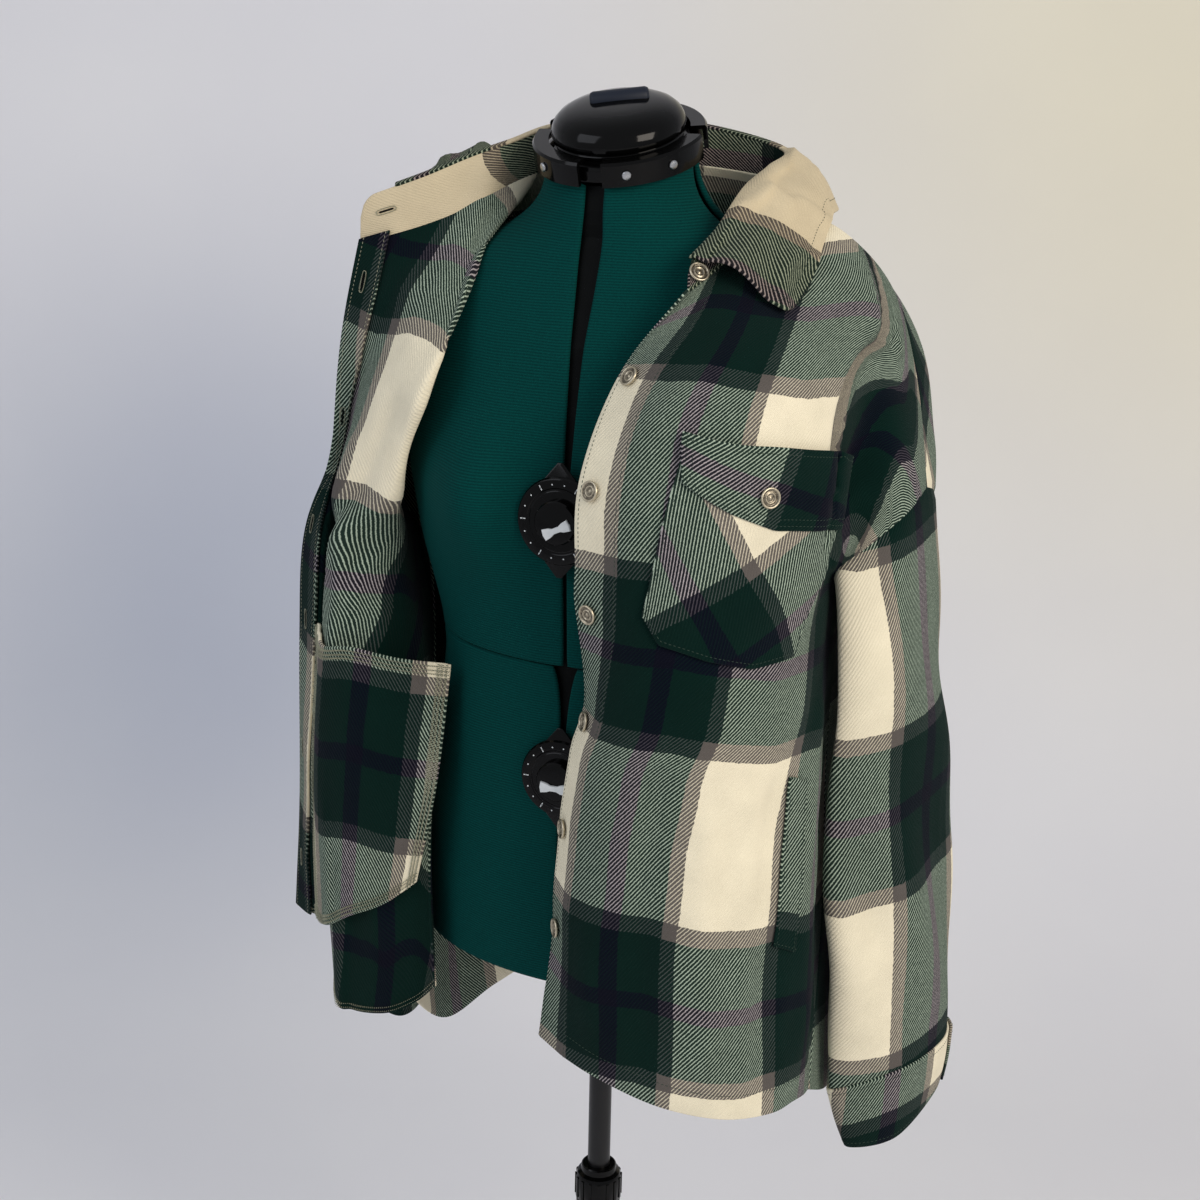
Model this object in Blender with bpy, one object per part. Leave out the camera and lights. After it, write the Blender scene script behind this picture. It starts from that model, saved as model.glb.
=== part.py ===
"""Flannel shirt jacket on an adjustable dress form with a round stand.

Metres, +Z up. The origin is on the floor, at the axis of the pole. The wearer's left is +X and
the front is -Y. Every cloth panel is a wall through a net of stations: a row for each height or
seam, a column for each named place across the panel.
"""
import bmesh
import bpy
import numpy as np
from mathutils import Matrix, Vector

# ------------------------------------------------------------------ driving dimensions
CLOTH = 0.0020            # brushed wool flannel
SEAM = 0.0003             # half of the gap left between two panels sewn together
LIE = 0.0004              # gap under whatever lies on a panel
SHELL = 0.0045            # moulded quarter shell of the form with its knitted cover
SLOT_HEIGHTS = (1.13, 1.25, 1.34)            # the slots between the shells open towards the neck
SLOT_WIDTHS = (0.0028, 0.0045, 0.0075)       # half of each slot's width there
BAND = 0.0024             # collar stand, two layers of flannel

BUTTON_RADIUS = 0.0078
BUTTON_HEIGHT = 0.0032
BUTTON_FROM_EDGE = 0.0130

NECK_TILT = 0.36          # rise of the neck plane for each metre towards the back
NECK_HEIGHT = 1.385
SHELL_RIM = 0.735
CORE_FOOT = 0.810

POLE_RADIUS = 0.0100
TUBE_RADIUS = 0.0113
CLUTCH_TOP = 0.505
CLUTCH_FOOT = 0.440
BASE_RADIUS = 0.195
BASE_THICK = 0.012

# ------------------------------------------------------------------ clean start
for leftover in list(bpy.data.objects):
    bpy.data.objects.remove(leftover, do_unlink=True)


# ------------------------------------------------------------------ materials
def material(name, colour, roughness, metallic=0.0):
    """A Principled material of one colour."""
    made = bpy.data.materials.new(name)
    made.use_nodes = True
    shader = made.node_tree.nodes["Principled BSDF"]
    shader.inputs["Base Color"].default_value = (*colour, 1.0)
    shader.inputs["Roughness"].default_value = roughness
    shader.inputs["Metallic"].default_value = metallic
    return made


FLANNEL = material("green plaid flannel", (0.055, 0.130, 0.100), 0.95)
KNIT = material("teal knitted cover", (0.004, 0.090, 0.085), 0.80)
PLASTIC = material("black moulded plastic", (0.008, 0.008, 0.010), 0.25)
INNER = material("black inner frame", (0.004, 0.004, 0.005), 0.60)
WHITE = material("white moulded plastic", (0.800, 0.800, 0.780), 0.40)
NICKEL = material("brushed nickel", (0.450, 0.440, 0.420), 0.35, 1.0)
STEEL = material("zinc plated steel", (0.500, 0.500, 0.500), 0.35, 1.0)
ENAMEL = material("black enamelled steel", (0.010, 0.010, 0.011), 0.35)


# ------------------------------------------------------------------ curves, nets and walls
def spline(stations, steps):
    """Catmull-Rom curve through the stations, with this many steps between neighbours."""
    points = np.asarray(stations, float)
    padded = np.vstack([2 * points[0] - points[1], points, 2 * points[-1] - points[-2]])
    curve = []
    for k in range(len(points) - 1):
        p0, p1, p2, p3 = padded[k:k + 4]
        for t in np.arange(steps) / steps:
            curve.append(0.5 * (2 * p1 + (p2 - p0) * t + (2 * p0 - 5 * p1 + 4 * p2 - p3) * t * t
                                + (3 * p1 - p0 - 3 * p2 + p3) * t ** 3))
    return np.array(curve + [points[-1]])


def net(rows, across, down):
    """Grid of points through the stations of every row: grid[row, column]."""
    wide = [spline(row, across) for row in rows]
    return np.stack([spline(column, down) for column in np.stack(wide, 1)], 1)


def unit(vectors):
    """Vectors scaled to length one."""
    return vectors / np.linalg.norm(vectors, axis=-1, keepdims=True)


def normals(grid, wrap=False):
    """Unit normals of a grid, column direction crossed with row direction."""
    if wrap:
        right = np.roll(grid, -1, 1) - np.roll(grid, 1, 1)
    else:
        right = np.gradient(grid, axis=1)
    below = np.gradient(grid, axis=0)
    return unit(np.cross(right, below))


def pull_in(grid, sides, distance=SEAM):
    """Moves the named edges of a grid in, square to the edge, which leaves the seam's gap."""
    pulled = grid.copy()
    for side in sides:
        lines = {"top": pulled, "bottom": pulled[::-1], "first": pulled.transpose(1, 0, 2),
                 "last": pulled.transpose(1, 0, 2)[::-1]}[side]
        inward = unit(lines[1] - lines[0])
        along = unit(np.gradient(lines[0], axis=0))
        square = np.linalg.norm(np.cross(inward, along), axis=1, keepdims=True)
        lines[0] += inward * distance / np.maximum(square, 0.4)
    return pulled


def solid(name, verts, faces, finish):
    """One closed body with its faces pointing out."""
    mesh = bpy.data.meshes.new(name)
    mesh.from_pydata([tuple(v) for v in verts], [], faces)
    shape = bmesh.new()
    shape.from_mesh(mesh)
    bmesh.ops.recalc_face_normals(shape, faces=shape.faces)
    if shape.calc_volume(signed=True) < 0:
        bmesh.ops.reverse_faces(shape, faces=shape.faces)
    shape.to_mesh(mesh)
    shape.free()
    mesh.shade_smooth()
    mesh.set_sharp_from_angle(angle=0.7)
    mesh.materials.append(finish)
    made = bpy.data.objects.new(name, mesh)
    bpy.context.scene.collection.objects.link(made)
    return made


def wall(name, grid, thickness, finish, wrap=False):
    """A closed wall of even thickness about a grid; wrap joins the last column to the first."""
    rows, columns = grid.shape[:2]
    out = normals(grid, wrap) * thickness / 2
    verts = np.concatenate([(grid + out).reshape(-1, 3), (grid - out).reshape(-1, 3)])
    size = rows * columns
    spans = columns if wrap else columns - 1
    faces = []
    for r in range(rows - 1):
        for c in range(spans):
            d = (c + 1) % columns
            a, b, e, f = r * columns + c, r * columns + d, (r + 1) * columns + d, (r + 1) * columns + c
            faces += [(a, b, e, f), (a + size, f + size, e + size, b + size)]
    for c in range(spans):
        d = (c + 1) % columns
        foot = (rows - 1) * columns
        faces += [(c, c + size, d + size, d), (foot + c, foot + d, foot + d + size, foot + c + size)]
    if not wrap:
        for r in range(rows - 1):
            a, b = r * columns, (r + 1) * columns
            faces += [(a, b, b + size, a + size)]
            a, b = a + columns - 1, b + columns - 1
            faces += [(a, a + size, b + size, b)]
    return solid(name, verts, faces, finish)


def loft(name, rings, finish):
    """A closed body through rings of equal count, with flat ends."""
    count = len(rings[0])
    verts = np.concatenate(rings)
    faces = [tuple(range(count)), tuple(range((len(rings) - 1) * count, len(rings) * count))]
    for r in range(len(rings) - 1):
        for c in range(count):
            d = (c + 1) % count
            faces.append((r * count + c, r * count + d, (r + 1) * count + d, (r + 1) * count + c))
    return solid(name, verts, faces, finish)


def turned(name, profile, finish, sides=24, frame=Matrix.Identity(4)):
    """A body of revolution: (radius, height) pairs up the axis of the frame."""
    angles = np.arange(sides) * 2 * np.pi / sides
    rings = []
    for radius, height in profile:
        ring = [frame @ Vector((radius * np.cos(a), radius * np.sin(a), height)) for a in angles]
        rings.append(np.array(ring))
    return loft(name, rings, finish)


def facing_frame(point, facing, up=(0, 0, 1)):
    """Frame at a point whose +Z looks along facing."""
    z = Vector(facing).normalized()
    x = Vector(up).cross(z).normalized()
    y = z.cross(x)
    turn = Matrix((x, y, z)).transposed().to_4x4()
    return Matrix.Translation(Vector(point)) @ turn


def sample(grid, across, down):
    """Point of a grid at fractions of its width and height, and the normal there."""
    rows, columns = grid.shape[:2]
    r = min(max(down, 0.0), 1.0) * (rows - 1)
    c = min(max(across, 0.0), 1.0) * (columns - 1)
    i, j = min(int(r), rows - 2), min(int(c), columns - 2)
    fr, fc = r - i, c - j
    found = []
    for field in (grid, normals(grid)):
        found.append((field[i, j] * (1 - fr) + field[i + 1, j] * fr) * (1 - fc)
                     + (field[i, j + 1] * (1 - fr) + field[i + 1, j + 1] * fr) * fc)
    return found[0], found[1] / np.linalg.norm(found[1])


# ------------------------------------------------------------------ the dress form
# height, half width, depth in front, depth behind, share of the neck's tilt
TORSO = (
    (NECK_HEIGHT, 0.058, 0.056, 0.056, 1.00),
    (1.364, 0.060, 0.059, 0.060, 0.80),
    (1.348, 0.070, 0.060, 0.066, 0.50),
    (1.334, 0.086, 0.060, 0.074, 0.25),
    (1.314, 0.133, 0.065, 0.084, 0.08),
    (1.286, 0.170, 0.073, 0.092, 0.00),
    (1.250, 0.183, 0.086, 0.100, 0.00),
    (1.200, 0.181, 0.095, 0.103, 0.00),
    (1.140, 0.176, 0.102, 0.100, 0.00),
    (1.080, 0.164, 0.102, 0.092, 0.00),
    (1.020, 0.146, 0.099, 0.085, 0.00),
    (0.990, 0.142, 0.098, 0.084, 0.00),
    (0.940, 0.147, 0.101, 0.094, 0.00),
    (0.870, 0.156, 0.104, 0.110, 0.00),
    (0.800, 0.161, 0.104, 0.115, 0.00),
    (SHELL_RIM, 0.161, 0.101, 0.112, 0.00),
)
BUST = {"x": 0.078, "z": 1.128, "reach": 0.036, "inner": 0.038, "outer": 0.052, "tall": 0.055}
WAIST = 1.004
WAIST_SLOT = 0.0025
CORNER_LIFT = (0.010, 0.042)                 # the rim turns up in a round corner at the front slot
FRONT, SIDE = np.pi / 2, 0.12                # the side slots lie a little behind the shoulder line


def torso_point(angle, height, inset=0.0):
    """Point on the form; angle 0 is the wearer's left, a quarter turn on is the front."""
    table = np.array(TORSO)[::-1]
    a, front, back, tilt = (np.interp(height, table[:, 0], table[:, k]) for k in (1, 2, 3, 4))
    x = a * np.cos(angle)
    y = -(front if np.sin(angle) > 0 else back) * np.sin(angle)
    if np.sin(angle) > 0:
        wide = BUST["outer"] if abs(x) > BUST["x"] else BUST["inner"]
        away = ((abs(x) - BUST["x"]) / wide) ** 2 + ((height - BUST["z"]) / BUST["tall"]) ** 2
        y -= BUST["reach"] * np.exp(-away) * np.sin(angle) ** 0.5
    length = np.hypot(x, y)
    x, y = x * (1 - inset / length), y * (1 - inset / length)
    return np.array([x, y, height + NECK_TILT * tilt * y])


def shell_angles(first, last, height):
    """Angles across a quarter shell, which stops short of the slots on both sides of it."""
    gap = np.interp(height, SLOT_HEIGHTS, SLOT_WIDTHS)
    margin = gap / np.hypot(*torso_point((first + last) / 2, height)[:2])
    return np.linspace(first + margin, last - margin, 9)


def quarter(name, first, last, heights):
    """One quarter shell between two angles, held clear of its neighbours by the slots."""
    rows = []
    for height in heights:
        lift = np.zeros(9)
        if height == SHELL_RIM and last == FRONT:
            lift[-2:] = CORNER_LIFT
        if height == SHELL_RIM and first == FRONT:
            lift[:2] = CORNER_LIFT[::-1]
        angles = shell_angles(first, last, height)
        rows.append([torso_point(a, height + up, SHELL / 2) for a, up in zip(angles, lift)])
    return wall(name, np.array(rows), SHELL, KNIT)


UPPER = [row[0] for row in TORSO if row[0] > WAIST + 0.01] + [WAIST + WAIST_SLOT]
LOWER = [WAIST - WAIST_SLOT] + [row[0] for row in TORSO if row[0] < WAIST - 0.01]
QUARTERS = (("left_front", -SIDE, FRONT), ("right_front", FRONT, np.pi + SIDE),
            ("right_back", np.pi + SIDE, 3 * FRONT), ("left_back", 3 * FRONT, 4 * FRONT - SIDE))
for quarter_name, first_angle, last_angle in QUARTERS:
    quarter("form_upper_" + quarter_name, first_angle, last_angle, UPPER)
    quarter("form_lower_" + quarter_name, first_angle, last_angle, LOWER)

CORE_INSET = SHELL + 0.0009
core_heights = [row[0] for row in TORSO if row[0] > CORE_FOOT] + [CORE_FOOT]
core = np.array([[torso_point(a, h, SHELL / 2) for _, first_angle, last_angle in QUARTERS
                  for a in shell_angles(first_angle, last_angle, h)] for h in core_heights])
core -= normals(core, wrap=True) * (CORE_INSET - SHELL / 2)
loft("form_core", list(core), INNER)


# dials: a clock-like adjuster at the bust and one at the hip, each with its bow-tie grip
def dial(name, height, radius, grip_turn, gap):
    """Round plate with a grip on it, seated on the front of the form."""
    turns = np.arange(16) * np.pi / 8
    under = [(0.0, height)] + [(radius * np.cos(t), height + radius * np.sin(t)) for t in turns]
    seat = max(-torso_point(np.arccos(x / torso_point(0.0, z)[0]), z)[1] for x, z in under) + gap
    frame = facing_frame((0.0, -seat, height), (0, -1, 0))
    turned(name, ((radius, 0.0), (radius, 0.0030), (radius - 0.003, 0.0050)), PLASTIC, 28, frame)
    knob = frame @ Matrix.Translation((0, 0, 0.0053)) @ Matrix.Rotation(grip_turn, 4, "Z")
    turned(name + "_knob", ((radius * 0.50, 0.0), (radius * 0.50, 0.0050), (radius * 0.46, 0.0065)),
           PLASTIC, 24, knob)
    outline = ((-0.011, -0.0045), (-0.003, -0.0022), (0.003, -0.0022), (0.011, -0.0045),
               (0.011, 0.0045), (0.003, 0.0022), (-0.003, 0.0022), (-0.011, 0.0045))
    rings = []
    for level in (0.0068, 0.0088):
        ring = [knob @ Vector((x, y - radius * 0.14, level)) for x, y in outline]
        rings.append(np.array(ring))
    loft(name + "_grip", rings, WHITE)


dial("bust_dial", 1.124, 0.034, 0.45, 3 * LIE)
dial("hip_dial", 0.915, 0.032, 0.0, LIE)

# neck: four band segments, three screws, the domed cap and the pad on it
NECK = Matrix.Translation((0, 0, NECK_HEIGHT + 0.0012)) @ Matrix.Rotation(np.arctan(NECK_TILT), 4, "X")
RING_OUT, RING_IN, RING_TALL, RING_GAP = 0.0665, 0.0600, 0.0190, 0.14
for quarter_name, first_angle, last_angle in QUARTERS:
    sweep = np.linspace(first_angle + RING_GAP, last_angle - RING_GAP, 7)
    middle = (RING_OUT + RING_IN) / 2
    ring_rows = [[NECK @ Vector((middle * np.cos(a), -middle * np.sin(a), level)) for a in sweep]
                 for level in (0.0008, RING_TALL)]
    wall("neck_band_" + quarter_name, np.array(ring_rows), RING_OUT - RING_IN, PLASTIC)
turned("neck_plate", ((0.0570, 0.0006), (0.0590, 0.0020), (0.0590, 0.0100), (0.0520, 0.0140)), PLASTIC, 32, NECK)
turned("neck_cap", ((0.0450, 0.0143), (0.0500, 0.0180), (0.0510, 0.0230), (0.0470, 0.0300),
                    (0.0380, 0.0355), (0.0255, 0.0385)), PLASTIC, 32, NECK)
turned("cap_pad", ((0.0225, 0.0388), (0.0250, 0.0405), (0.0250, 0.0450), (0.0215, 0.0475)), PLASTIC, 24, NECK)
for k, bearing in enumerate((0.60, 1.15, 2.25)):
    spot = NECK @ Vector((np.cos(bearing), -np.sin(bearing), 0.0)) - NECK.translation
    seat = NECK.translation + spot * (RING_OUT + 0.0004) + NECK.to_3x3() @ Vector((0, 0, 0.0095))
    turned("neck_screw_%d" % (k + 1), ((0.0034, 0.0), (0.0034, 0.0010), (0.0022, 0.0018)), STEEL, 12,
           facing_frame(seat, spot))

# stand: upper pole, height clutch, lower tube and the round base
turned("upper_pole", ((POLE_RADIUS, CLUTCH_TOP - 0.030), (POLE_RADIUS, CORE_FOOT - 0.0003)), ENAMEL, 24)


def collar(name, profile, finish, sides=24):
    """A closed ring about the pole: (radius, height) pairs once round its section."""
    angles = np.arange(sides) * 2 * np.pi / sides
    count = len(profile)
    verts = [(r * np.cos(a), r * np.sin(a), z) for a in angles for r, z in profile]
    faces = []
    for k in range(sides):
        for c in range(count):
            a, b = k * count + c, k * count + (c + 1) % count
            far = ((k + 1) % sides) * count - k * count
            faces.append((a, b, b + far, a + far))
    return solid(name, verts, faces, finish)


BORE = POLE_RADIUS + 0.0003
NUT_FOOT = CLUTCH_TOP - 0.034
collar("clutch_nut", ((BORE, NUT_FOOT + 0.0003), (0.0205, NUT_FOOT + 0.0003), (0.0205, CLUTCH_TOP - 0.010),
                      (0.0175, CLUTCH_TOP), (BORE, CLUTCH_TOP)), PLASTIC)
collar("clutch_body", ((TUBE_RADIUS + 0.0003, CLUTCH_FOOT), (0.0150, CLUTCH_FOOT), (0.0198, CLUTCH_FOOT + 0.010),
                       (0.0198, NUT_FOOT), (TUBE_RADIUS + 0.0003, NUT_FOOT)), PLASTIC)
turned("lower_tube", ((TUBE_RADIUS, BASE_THICK + 0.0123), (TUBE_RADIUS, NUT_FOOT - 0.0003)), ENAMEL, 24)
turned("base_socket", ((0.0300, BASE_THICK + 0.0003), (0.0260, BASE_THICK + 0.0080),
                       (0.0200, BASE_THICK + 0.0120)), PLASTIC, 24)
turned("base", ((BASE_RADIUS - 0.002, 0.0), (BASE_RADIUS, 0.002), (BASE_RADIUS, BASE_THICK - 0.004),
                (BASE_RADIUS - 0.006, BASE_THICK)), ENAMEL, 48)

# ------------------------------------------------------------------ how the cloth hangs and is sewn
CLEAR = 0.0068            # middle of the cloth to the form it hangs on


def laid_over(grid, panel, out, lift, reach=0.030):
    """Moves the points of a grid that are lower than lift over a panel out to that height."""
    moved = grid.copy()
    under, facing = panel.reshape(-1, 3), out.reshape(-1, 3)
    for spot in moved.reshape(-1, 3):
        nearest = np.argmin(np.linalg.norm(under - spot, axis=1))
        height = np.dot(spot - under[nearest], facing[nearest])
        if lift - reach < height < lift:
            spot += facing[nearest] * (lift - height)
    return moved


skin = np.array([[torso_point(a, h) for a in np.linspace(0, 2 * np.pi, 97)[:-1]]
                 for h in np.linspace(NECK_HEIGHT, SHELL_RIM, 66)])
skin_out = normals(skin, wrap=True)


def seam_cut(mine, other, thickness=CLOTH):
    """Cut back at a seam, from both walls' outward normals, that keeps their corners apart."""
    bend = np.arccos(np.clip((mine * other).sum(1), -0.97, 1.0))
    return SEAM + thickness / 2 * np.tan(bend / 2)


# ------------------------------------------------------------------ left front
# a row for each height; from the centre front edge across the chest to the armhole or side seam
LEFT_SHOULDER = {
    "neck": (0.121, 0.030, 1.352), "shoulder": (0.166, 0.040, 1.333), "tip": (0.205, 0.048, 1.291),
    "arm": (0.227, 0.052, 1.222), "drop": (0.241, 0.047, 1.143),
}
LEFT_UNDERARM = (0.188, 0.005, 1.060)
LEFT_FRONT = (
    # edge, button line, bust, side bust, corner, fold, arm, seam
    ((0.088, -0.090, 1.299), (0.104, -0.056, 1.319), (0.117, -0.012, 1.344), LEFT_SHOULDER["neck"],
     LEFT_SHOULDER["shoulder"], LEFT_SHOULDER["tip"], LEFT_SHOULDER["arm"], LEFT_SHOULDER["drop"]),
    ((0.047, -0.112, 1.236), (0.088, -0.130, 1.240), (0.130, -0.122, 1.246), (0.165, -0.090, 1.252),
     (0.193, -0.045, 1.251), (0.209, -0.008, 1.235), (0.227, 0.004, 1.190), (0.236, 0.004, 1.131)),
    ((0.033, -0.148, 1.165), (0.080, -0.162, 1.165), (0.128, -0.150, 1.165), (0.170, -0.117, 1.170),
     (0.197, -0.066, 1.170), (0.191, -0.026, 1.165), (0.214, -0.018, 1.140), (0.214, -0.023, 1.109)),
    ((0.032, -0.150, 1.100), (0.079, -0.163, 1.100), (0.127, -0.152, 1.100), (0.168, -0.118, 1.100),
     (0.192, -0.072, 1.100), (0.187, -0.045, 1.100), (0.189, -0.034, 1.096), (0.192, -0.028, 1.088)),
    ((0.034, -0.150, 1.040), (0.080, -0.163, 1.040), (0.126, -0.152, 1.040), (0.163, -0.118, 1.040),
     (0.182, -0.080, 1.040), (0.185, -0.050, 1.042), (0.185, -0.022, 1.048), LEFT_UNDERARM),
    ((0.031, -0.152, 0.930), (0.078, -0.167, 0.930), (0.125, -0.158, 0.930), (0.164, -0.126, 0.930),
     (0.184, -0.086, 0.930), (0.190, -0.057, 0.930), (0.190, -0.032, 0.930), (0.187, -0.008, 0.930)),
    ((0.022, -0.155, 0.806), (0.070, -0.172, 0.804), (0.120, -0.167, 0.802), (0.163, -0.138, 0.801),
     (0.188, -0.100, 0.800), (0.196, -0.070, 0.800), (0.197, -0.046, 0.799), (0.194, -0.020, 0.798)),
    ((0.013, -0.154, 0.710), (0.059, -0.168, 0.701), (0.110, -0.165, 0.686), (0.155, -0.143, 0.673),
     (0.184, -0.108, 0.665), (0.195, -0.080, 0.663), (0.198, -0.060, 0.658), (0.196, -0.038, 0.650)),
)
left_front = net(LEFT_FRONT, 2, 2)
left_front[0, 6:] = spline(list(LEFT_SHOULDER.values()), 2)

# ------------------------------------------------------------------ right front, folded open
RIGHT_SHOULDER = {
    "neck": (-0.080, 0.030, 1.372), "shoulder": (-0.150, 0.040, 1.336), "tip": (-0.204, 0.052, 1.291),
    "arm": (-0.230, 0.060, 1.222), "drop": (-0.244, 0.062, 1.143),
}
RIGHT_UNDERARM = (-0.190, 0.035, 1.060)
RIGHT_FRONT = (
    # edge, facing, valley, ridge, inner, roll, under, shoulder, tip, seam
    ((-0.198, -0.050, 1.316), (-0.170, -0.049, 1.324), (-0.145, -0.042, 1.332), (-0.120, -0.034, 1.342),
     (-0.096, -0.020, 1.358), *RIGHT_SHOULDER.values()),
    ((-0.214, -0.051, 1.240), (-0.184, -0.060, 1.250), (-0.172, -0.064, 1.252), (-0.152, -0.078, 1.250),
     (-0.128, -0.090, 1.247), (-0.102, -0.096, 1.245), (-0.132, -0.074, 1.250), (-0.180, -0.032, 1.265),
     (-0.220, 0.008, 1.240), (-0.240, 0.024, 1.132)),
    ((-0.234, -0.043, 1.140), (-0.226, -0.038, 1.140), (-0.219, -0.046, 1.140), (-0.205, -0.072, 1.145),
     (-0.174, -0.090, 1.150), (-0.144, -0.092, 1.150), (-0.164, -0.068, 1.150), (-0.190, -0.038, 1.155),
     (-0.206, -0.010, 1.145), (-0.218, 0.000, 1.108)),
    ((-0.272, -0.020, 1.060), (-0.246, -0.038, 1.064), (-0.240, -0.020, 1.062), (-0.206, -0.090, 1.068),
     (-0.176, -0.080, 1.068), (-0.164, -0.060, 1.066), (-0.166, -0.036, 1.064), (-0.174, -0.014, 1.062),
     (-0.182, 0.010, 1.061), RIGHT_UNDERARM),
    ((-0.278, -0.021, 0.970), (-0.252, -0.040, 0.974), (-0.246, -0.022, 0.972), (-0.210, -0.100, 0.982),
     (-0.182, -0.090, 0.984), (-0.162, -0.072, 0.984), (-0.154, -0.054, 0.980), (-0.153, -0.036, 0.976),
     (-0.156, -0.018, 0.973), (-0.162, -0.002, 0.970)),
    ((-0.284, -0.018, 0.820), (-0.262, -0.042, 0.824), (-0.254, -0.028, 0.824), (-0.213, -0.104, 0.832),
     (-0.192, -0.108, 0.832), (-0.174, -0.106, 0.830), (-0.158, -0.102, 0.828), (-0.145, -0.098, 0.826),
     (-0.134, -0.092, 0.824), (-0.126, -0.084, 0.822)),
    ((-0.298, -0.008, 0.706), (-0.274, -0.022, 0.706), (-0.250, -0.022, 0.708), (-0.208, -0.100, 0.674),
     (-0.190, -0.104, 0.670), (-0.172, -0.103, 0.670), (-0.155, -0.100, 0.673), (-0.141, -0.096, 0.680),
     (-0.130, -0.092, 0.688), (-0.121, -0.086, 0.698)),
)
right_front = net(RIGHT_FRONT, 2, 2)
right_front[0, 10:] = spline(list(RIGHT_SHOULDER.values()), 2)
right_front = laid_over(right_front, skin, skin_out, CLEAR)

# ------------------------------------------------------------------ back
# from the left armhole or side seam, across the shoulder blades, to the right one
BACK = (
    (LEFT_SHOULDER["drop"], LEFT_SHOULDER["arm"], LEFT_SHOULDER["tip"], LEFT_SHOULDER["shoulder"],
     LEFT_SHOULDER["neck"], (0.102, 0.088, 1.366), (0.020, 0.122, 1.374), (-0.056, 0.090, 1.376),
     RIGHT_SHOULDER["neck"], RIGHT_SHOULDER["shoulder"], RIGHT_SHOULDER["tip"], RIGHT_SHOULDER["arm"],
     RIGHT_SHOULDER["drop"]),
    ((0.242, 0.078, 1.132), (0.234, 0.088, 1.190), (0.216, 0.095, 1.245), (0.180, 0.100, 1.275),
     (0.140, 0.112, 1.290), (0.080, 0.132, 1.295), (0.010, 0.142, 1.296), (-0.060, 0.134, 1.295),
     (-0.120, 0.116, 1.290), (-0.170, 0.104, 1.275), (-0.212, 0.098, 1.245), (-0.236, 0.094, 1.190),
     (-0.244, 0.088, 1.132)),
    ((0.228, 0.096, 1.108), (0.218, 0.092, 1.140), (0.198, 0.104, 1.165), (0.166, 0.128, 1.175),
     (0.128, 0.146, 1.178), (0.070, 0.158, 1.180), (0.005, 0.162, 1.180), (-0.060, 0.160, 1.180),
     (-0.118, 0.150, 1.178), (-0.158, 0.132, 1.175), (-0.192, 0.112, 1.165), (-0.216, 0.102, 1.140),
     (-0.230, 0.104, 1.108)),
    (LEFT_UNDERARM, (0.187, 0.030, 1.062), (0.180, 0.066, 1.064), (0.157, 0.106, 1.064),
     (0.120, 0.138, 1.064), (0.064, 0.156, 1.064), (0.004, 0.160, 1.064), (-0.058, 0.156, 1.064),
     (-0.114, 0.144, 1.064), (-0.152, 0.122, 1.064), (-0.178, 0.096, 1.064), (-0.190, 0.066, 1.062),
     RIGHT_UNDERARM),
    ((0.187, -0.008, 0.930), (0.188, 0.022, 0.928), (0.183, 0.060, 0.926), (0.159, 0.108, 0.924),
     (0.120, 0.142, 0.922), (0.064, 0.160, 0.920), (0.004, 0.164, 0.920), (-0.056, 0.161, 0.920),
     (-0.112, 0.150, 0.920), (-0.152, 0.126, 0.922), (-0.176, 0.088, 0.925), (-0.177, 0.036, 0.928),
     (-0.156, -0.030, 0.930)),
    ((0.194, -0.020, 0.798), (0.197, 0.014, 0.792), (0.190, 0.058, 0.784), (0.164, 0.112, 0.776),
     (0.124, 0.149, 0.770), (0.066, 0.168, 0.768), (0.004, 0.172, 0.766), (-0.056, 0.169, 0.766),
     (-0.114, 0.158, 0.768), (-0.158, 0.130, 0.774), (-0.186, 0.084, 0.784), (-0.182, 0.006, 0.796),
     (-0.124, -0.086, 0.808)),
    ((0.196, -0.038, 0.650), (0.201, -0.002, 0.632), (0.194, 0.050, 0.615), (0.168, 0.112, 0.600),
     (0.127, 0.152, 0.588), (0.068, 0.172, 0.582), (0.004, 0.176, 0.580), (-0.058, 0.172, 0.578),
     (-0.118, 0.162, 0.606), (-0.166, 0.140, 0.580), (-0.192, 0.080, 0.566), (-0.186, -0.004, 0.635),
     (-0.121, -0.086, 0.698)),
)
back = laid_over(net(BACK, 2, 2), skin, skin_out, CLEAR)
back[0, :9] = left_front[0, :5:-1]
back[0, 16:] = right_front[0, 10:]
back[6:, 0] = left_front[8:, -1]
back[6:, -1] = right_front[6:, -1]

# ------------------------------------------------------------------ sleeves and cuffs
# a row for each height; round the sleeve from the outside, by the front, to the inside and back
LEFT_SLEEVE = (
    # outer, ridge, inner front, inside, inner back, outer back
    ((0.255, 0.058, 1.035), (0.236, -0.008, 1.043), (0.199, -0.031, 1.035), (0.200, 0.020, 1.028),
     (0.214, 0.085, 1.030), (0.245, 0.103, 1.035)),
    ((0.262, 0.060, 0.950), (0.241, -0.010, 0.950), (0.199, -0.034, 0.950), (0.202, 0.020, 0.950),
     (0.220, 0.088, 0.950), (0.252, 0.106, 0.950)),
    ((0.270, 0.060, 0.860), (0.247, -0.012, 0.860), (0.203, -0.036, 0.860), (0.206, 0.020, 0.860),
     (0.226, 0.086, 0.860), (0.260, 0.104, 0.860)),
    ((0.281, 0.060, 0.770), (0.256, -0.011, 0.770), (0.209, -0.034, 0.765), (0.212, 0.020, 0.765),
     (0.235, 0.083, 0.770), (0.271, 0.100, 0.775)),
    ((0.287, 0.060, 0.664), (0.266, 0.000, 0.662), (0.214, -0.022, 0.642), (0.217, 0.020, 0.640),
     (0.243, 0.080, 0.652), (0.276, 0.094, 0.664)),
)
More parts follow.
